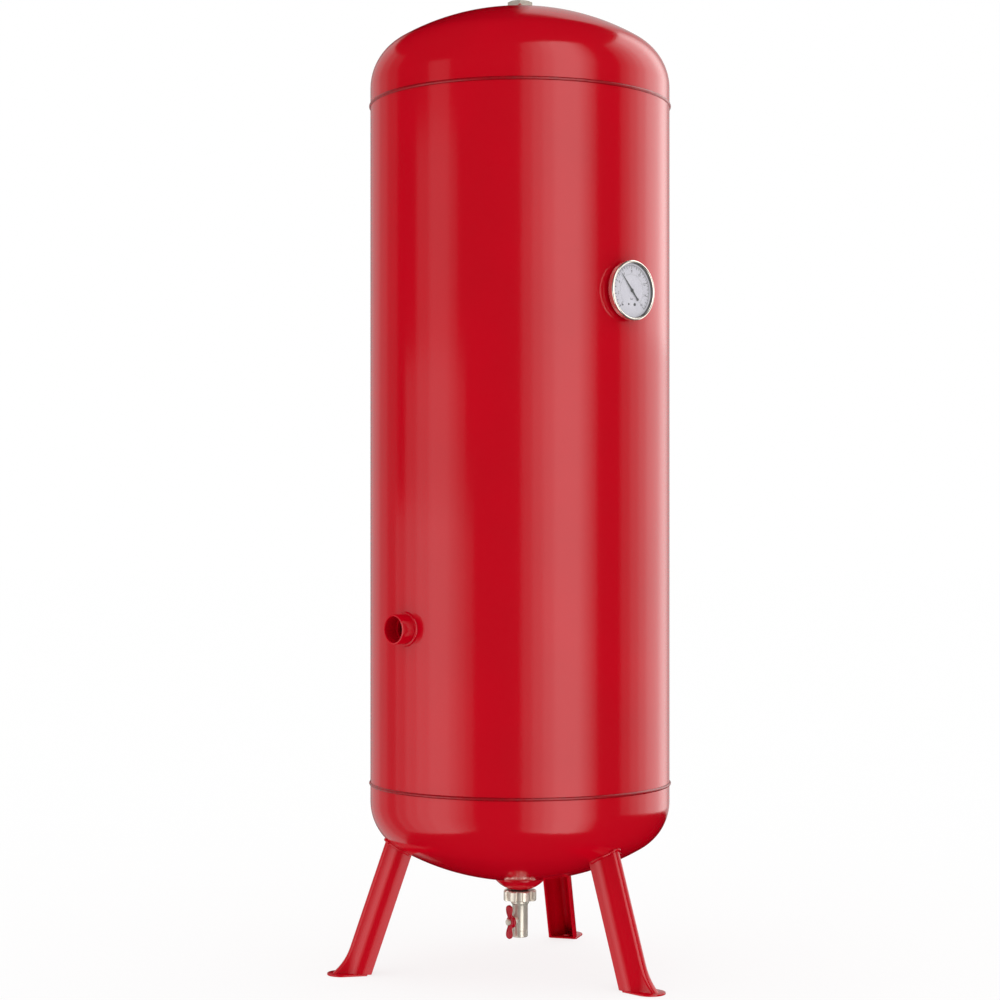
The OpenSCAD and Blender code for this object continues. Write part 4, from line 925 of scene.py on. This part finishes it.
world = bpy.data.worlds.new("studio")
world.use_nodes = True
bpy.context.scene.world = world
sky = Bench(world.node_tree)
world.node_tree.nodes.clear()
rays = sky.node("ShaderNodeLightPath", out="Is Glossy Ray")
bright = sky.node("ShaderNodeBackground", None, {"Color": (1, 1, 1), "Strength": stage["world"]})
dark = sky.node("ShaderNodeBackground", None, {"Color": (1, 1, 1), "Strength": 0.0})
both = sky.node("ShaderNodeMixShader", None, {0: rays, 1: bright, 2: dark})
sky.fill(world.node_tree.nodes.new("ShaderNodeOutputWorld").inputs["Surface"], both)

shot = dict(turn=-43.0, spot=(-2.50636, -2.68772, 0.726), lens=78.95, film=36.0, shift=(-0.02, 0.033))
shotTurn = math.radians(shot["turn"])
toCamera = Vector((math.sin(shotTurn), -math.cos(shotTurn), 0))       # from the axis to the camera
toRight = Vector((math.cos(shotTurn), math.sin(shotTurn), 0))


def panel(name, start, end, low, high, strength):
    # a soft box seen in the paint; start and end are degrees from the camera, right is positive
    away = stage["lightAway"]
    middle, half = math.radians((start + end) / 2), math.radians(abs(end - start) / 2)
    out = toCamera * math.cos(middle) + toRight * math.sin(middle)
    light = bpy.data.lights.new(name, "AREA")
    light.shape = "RECTANGLE"
    light.size, light.size_y = 2 * away * math.tan(half), high - low
    light.energy = strength * math.pi * light.size * light.size_y
    light.color = (1.0, 0.985, 0.965)
    shown = bpy.data.objects.new(name, light)
    spot = out * away + Vector((0, 0, (low + high) / 2))
    side = Vector((0, 0, 1)).cross(out).normalized()
    shown.matrix_world = Matrix.Translation(spot) @ Matrix((side, out.cross(side), out)).transposed().to_4x4()
    bpy.context.scene.collection.objects.link(shown)
    shown.visible_camera = False
    shown.visible_diffuse = False
    shown.visible_transmission = False


def softBox(name, start, end, low, highs, strength, softStart, softEnd):
    # panels stacked so that the reflection fades towards both sides, and upwards if the heights differ
    count = len(highs)
    for i, high in enumerate(highs):
        inset = i / (count - 1)
        panel(name + str(i), start + softStart * inset, end - softEnd * inset, low, high, strength / count)


softBox("rightFront", 1, 57, -1.6, (4.2, 4.2, 4.2, 4.2), 2.62, 23, 13)
softBox("rightSide", 79, 152, -0.2, (4.2, 4.2, 4.2, 4.2), 1.75, 28, 14)
softBox("rightHigh", 84, 150, 1.25, (4.2, 4.2, 4.2), 0.6, 22, 10)
softBox("rightBack", 128, 180, -0.2, (4.2, 4.2), 0.55, 10, 1)
softBox("leftSide", -105, -34, -1.6, (0.8, 1.2, 1.8, 2.2), 1.75, 36, 18)
softBox("leftBack", -166, -103, -1.6, (3.0, 3.0, 3.0), 0.5, 8, 28)

camera = bpy.data.cameras.new("camera")
camera.lens, camera.sensor_width = shot["lens"], shot["film"]
camera.shift_x, camera.shift_y = shot["shift"]
camera.clip_end = 200.0
view = bpy.data.objects.new("camera", camera)
view.location = shot["spot"]
view.rotation_euler = (math.pi / 2, 0, shotTurn)
bpy.context.scene.collection.objects.link(view)
bpy.context.scene.camera = view
bpy.context.scene.view_settings.view_transform = "Standard"

print("scene made")
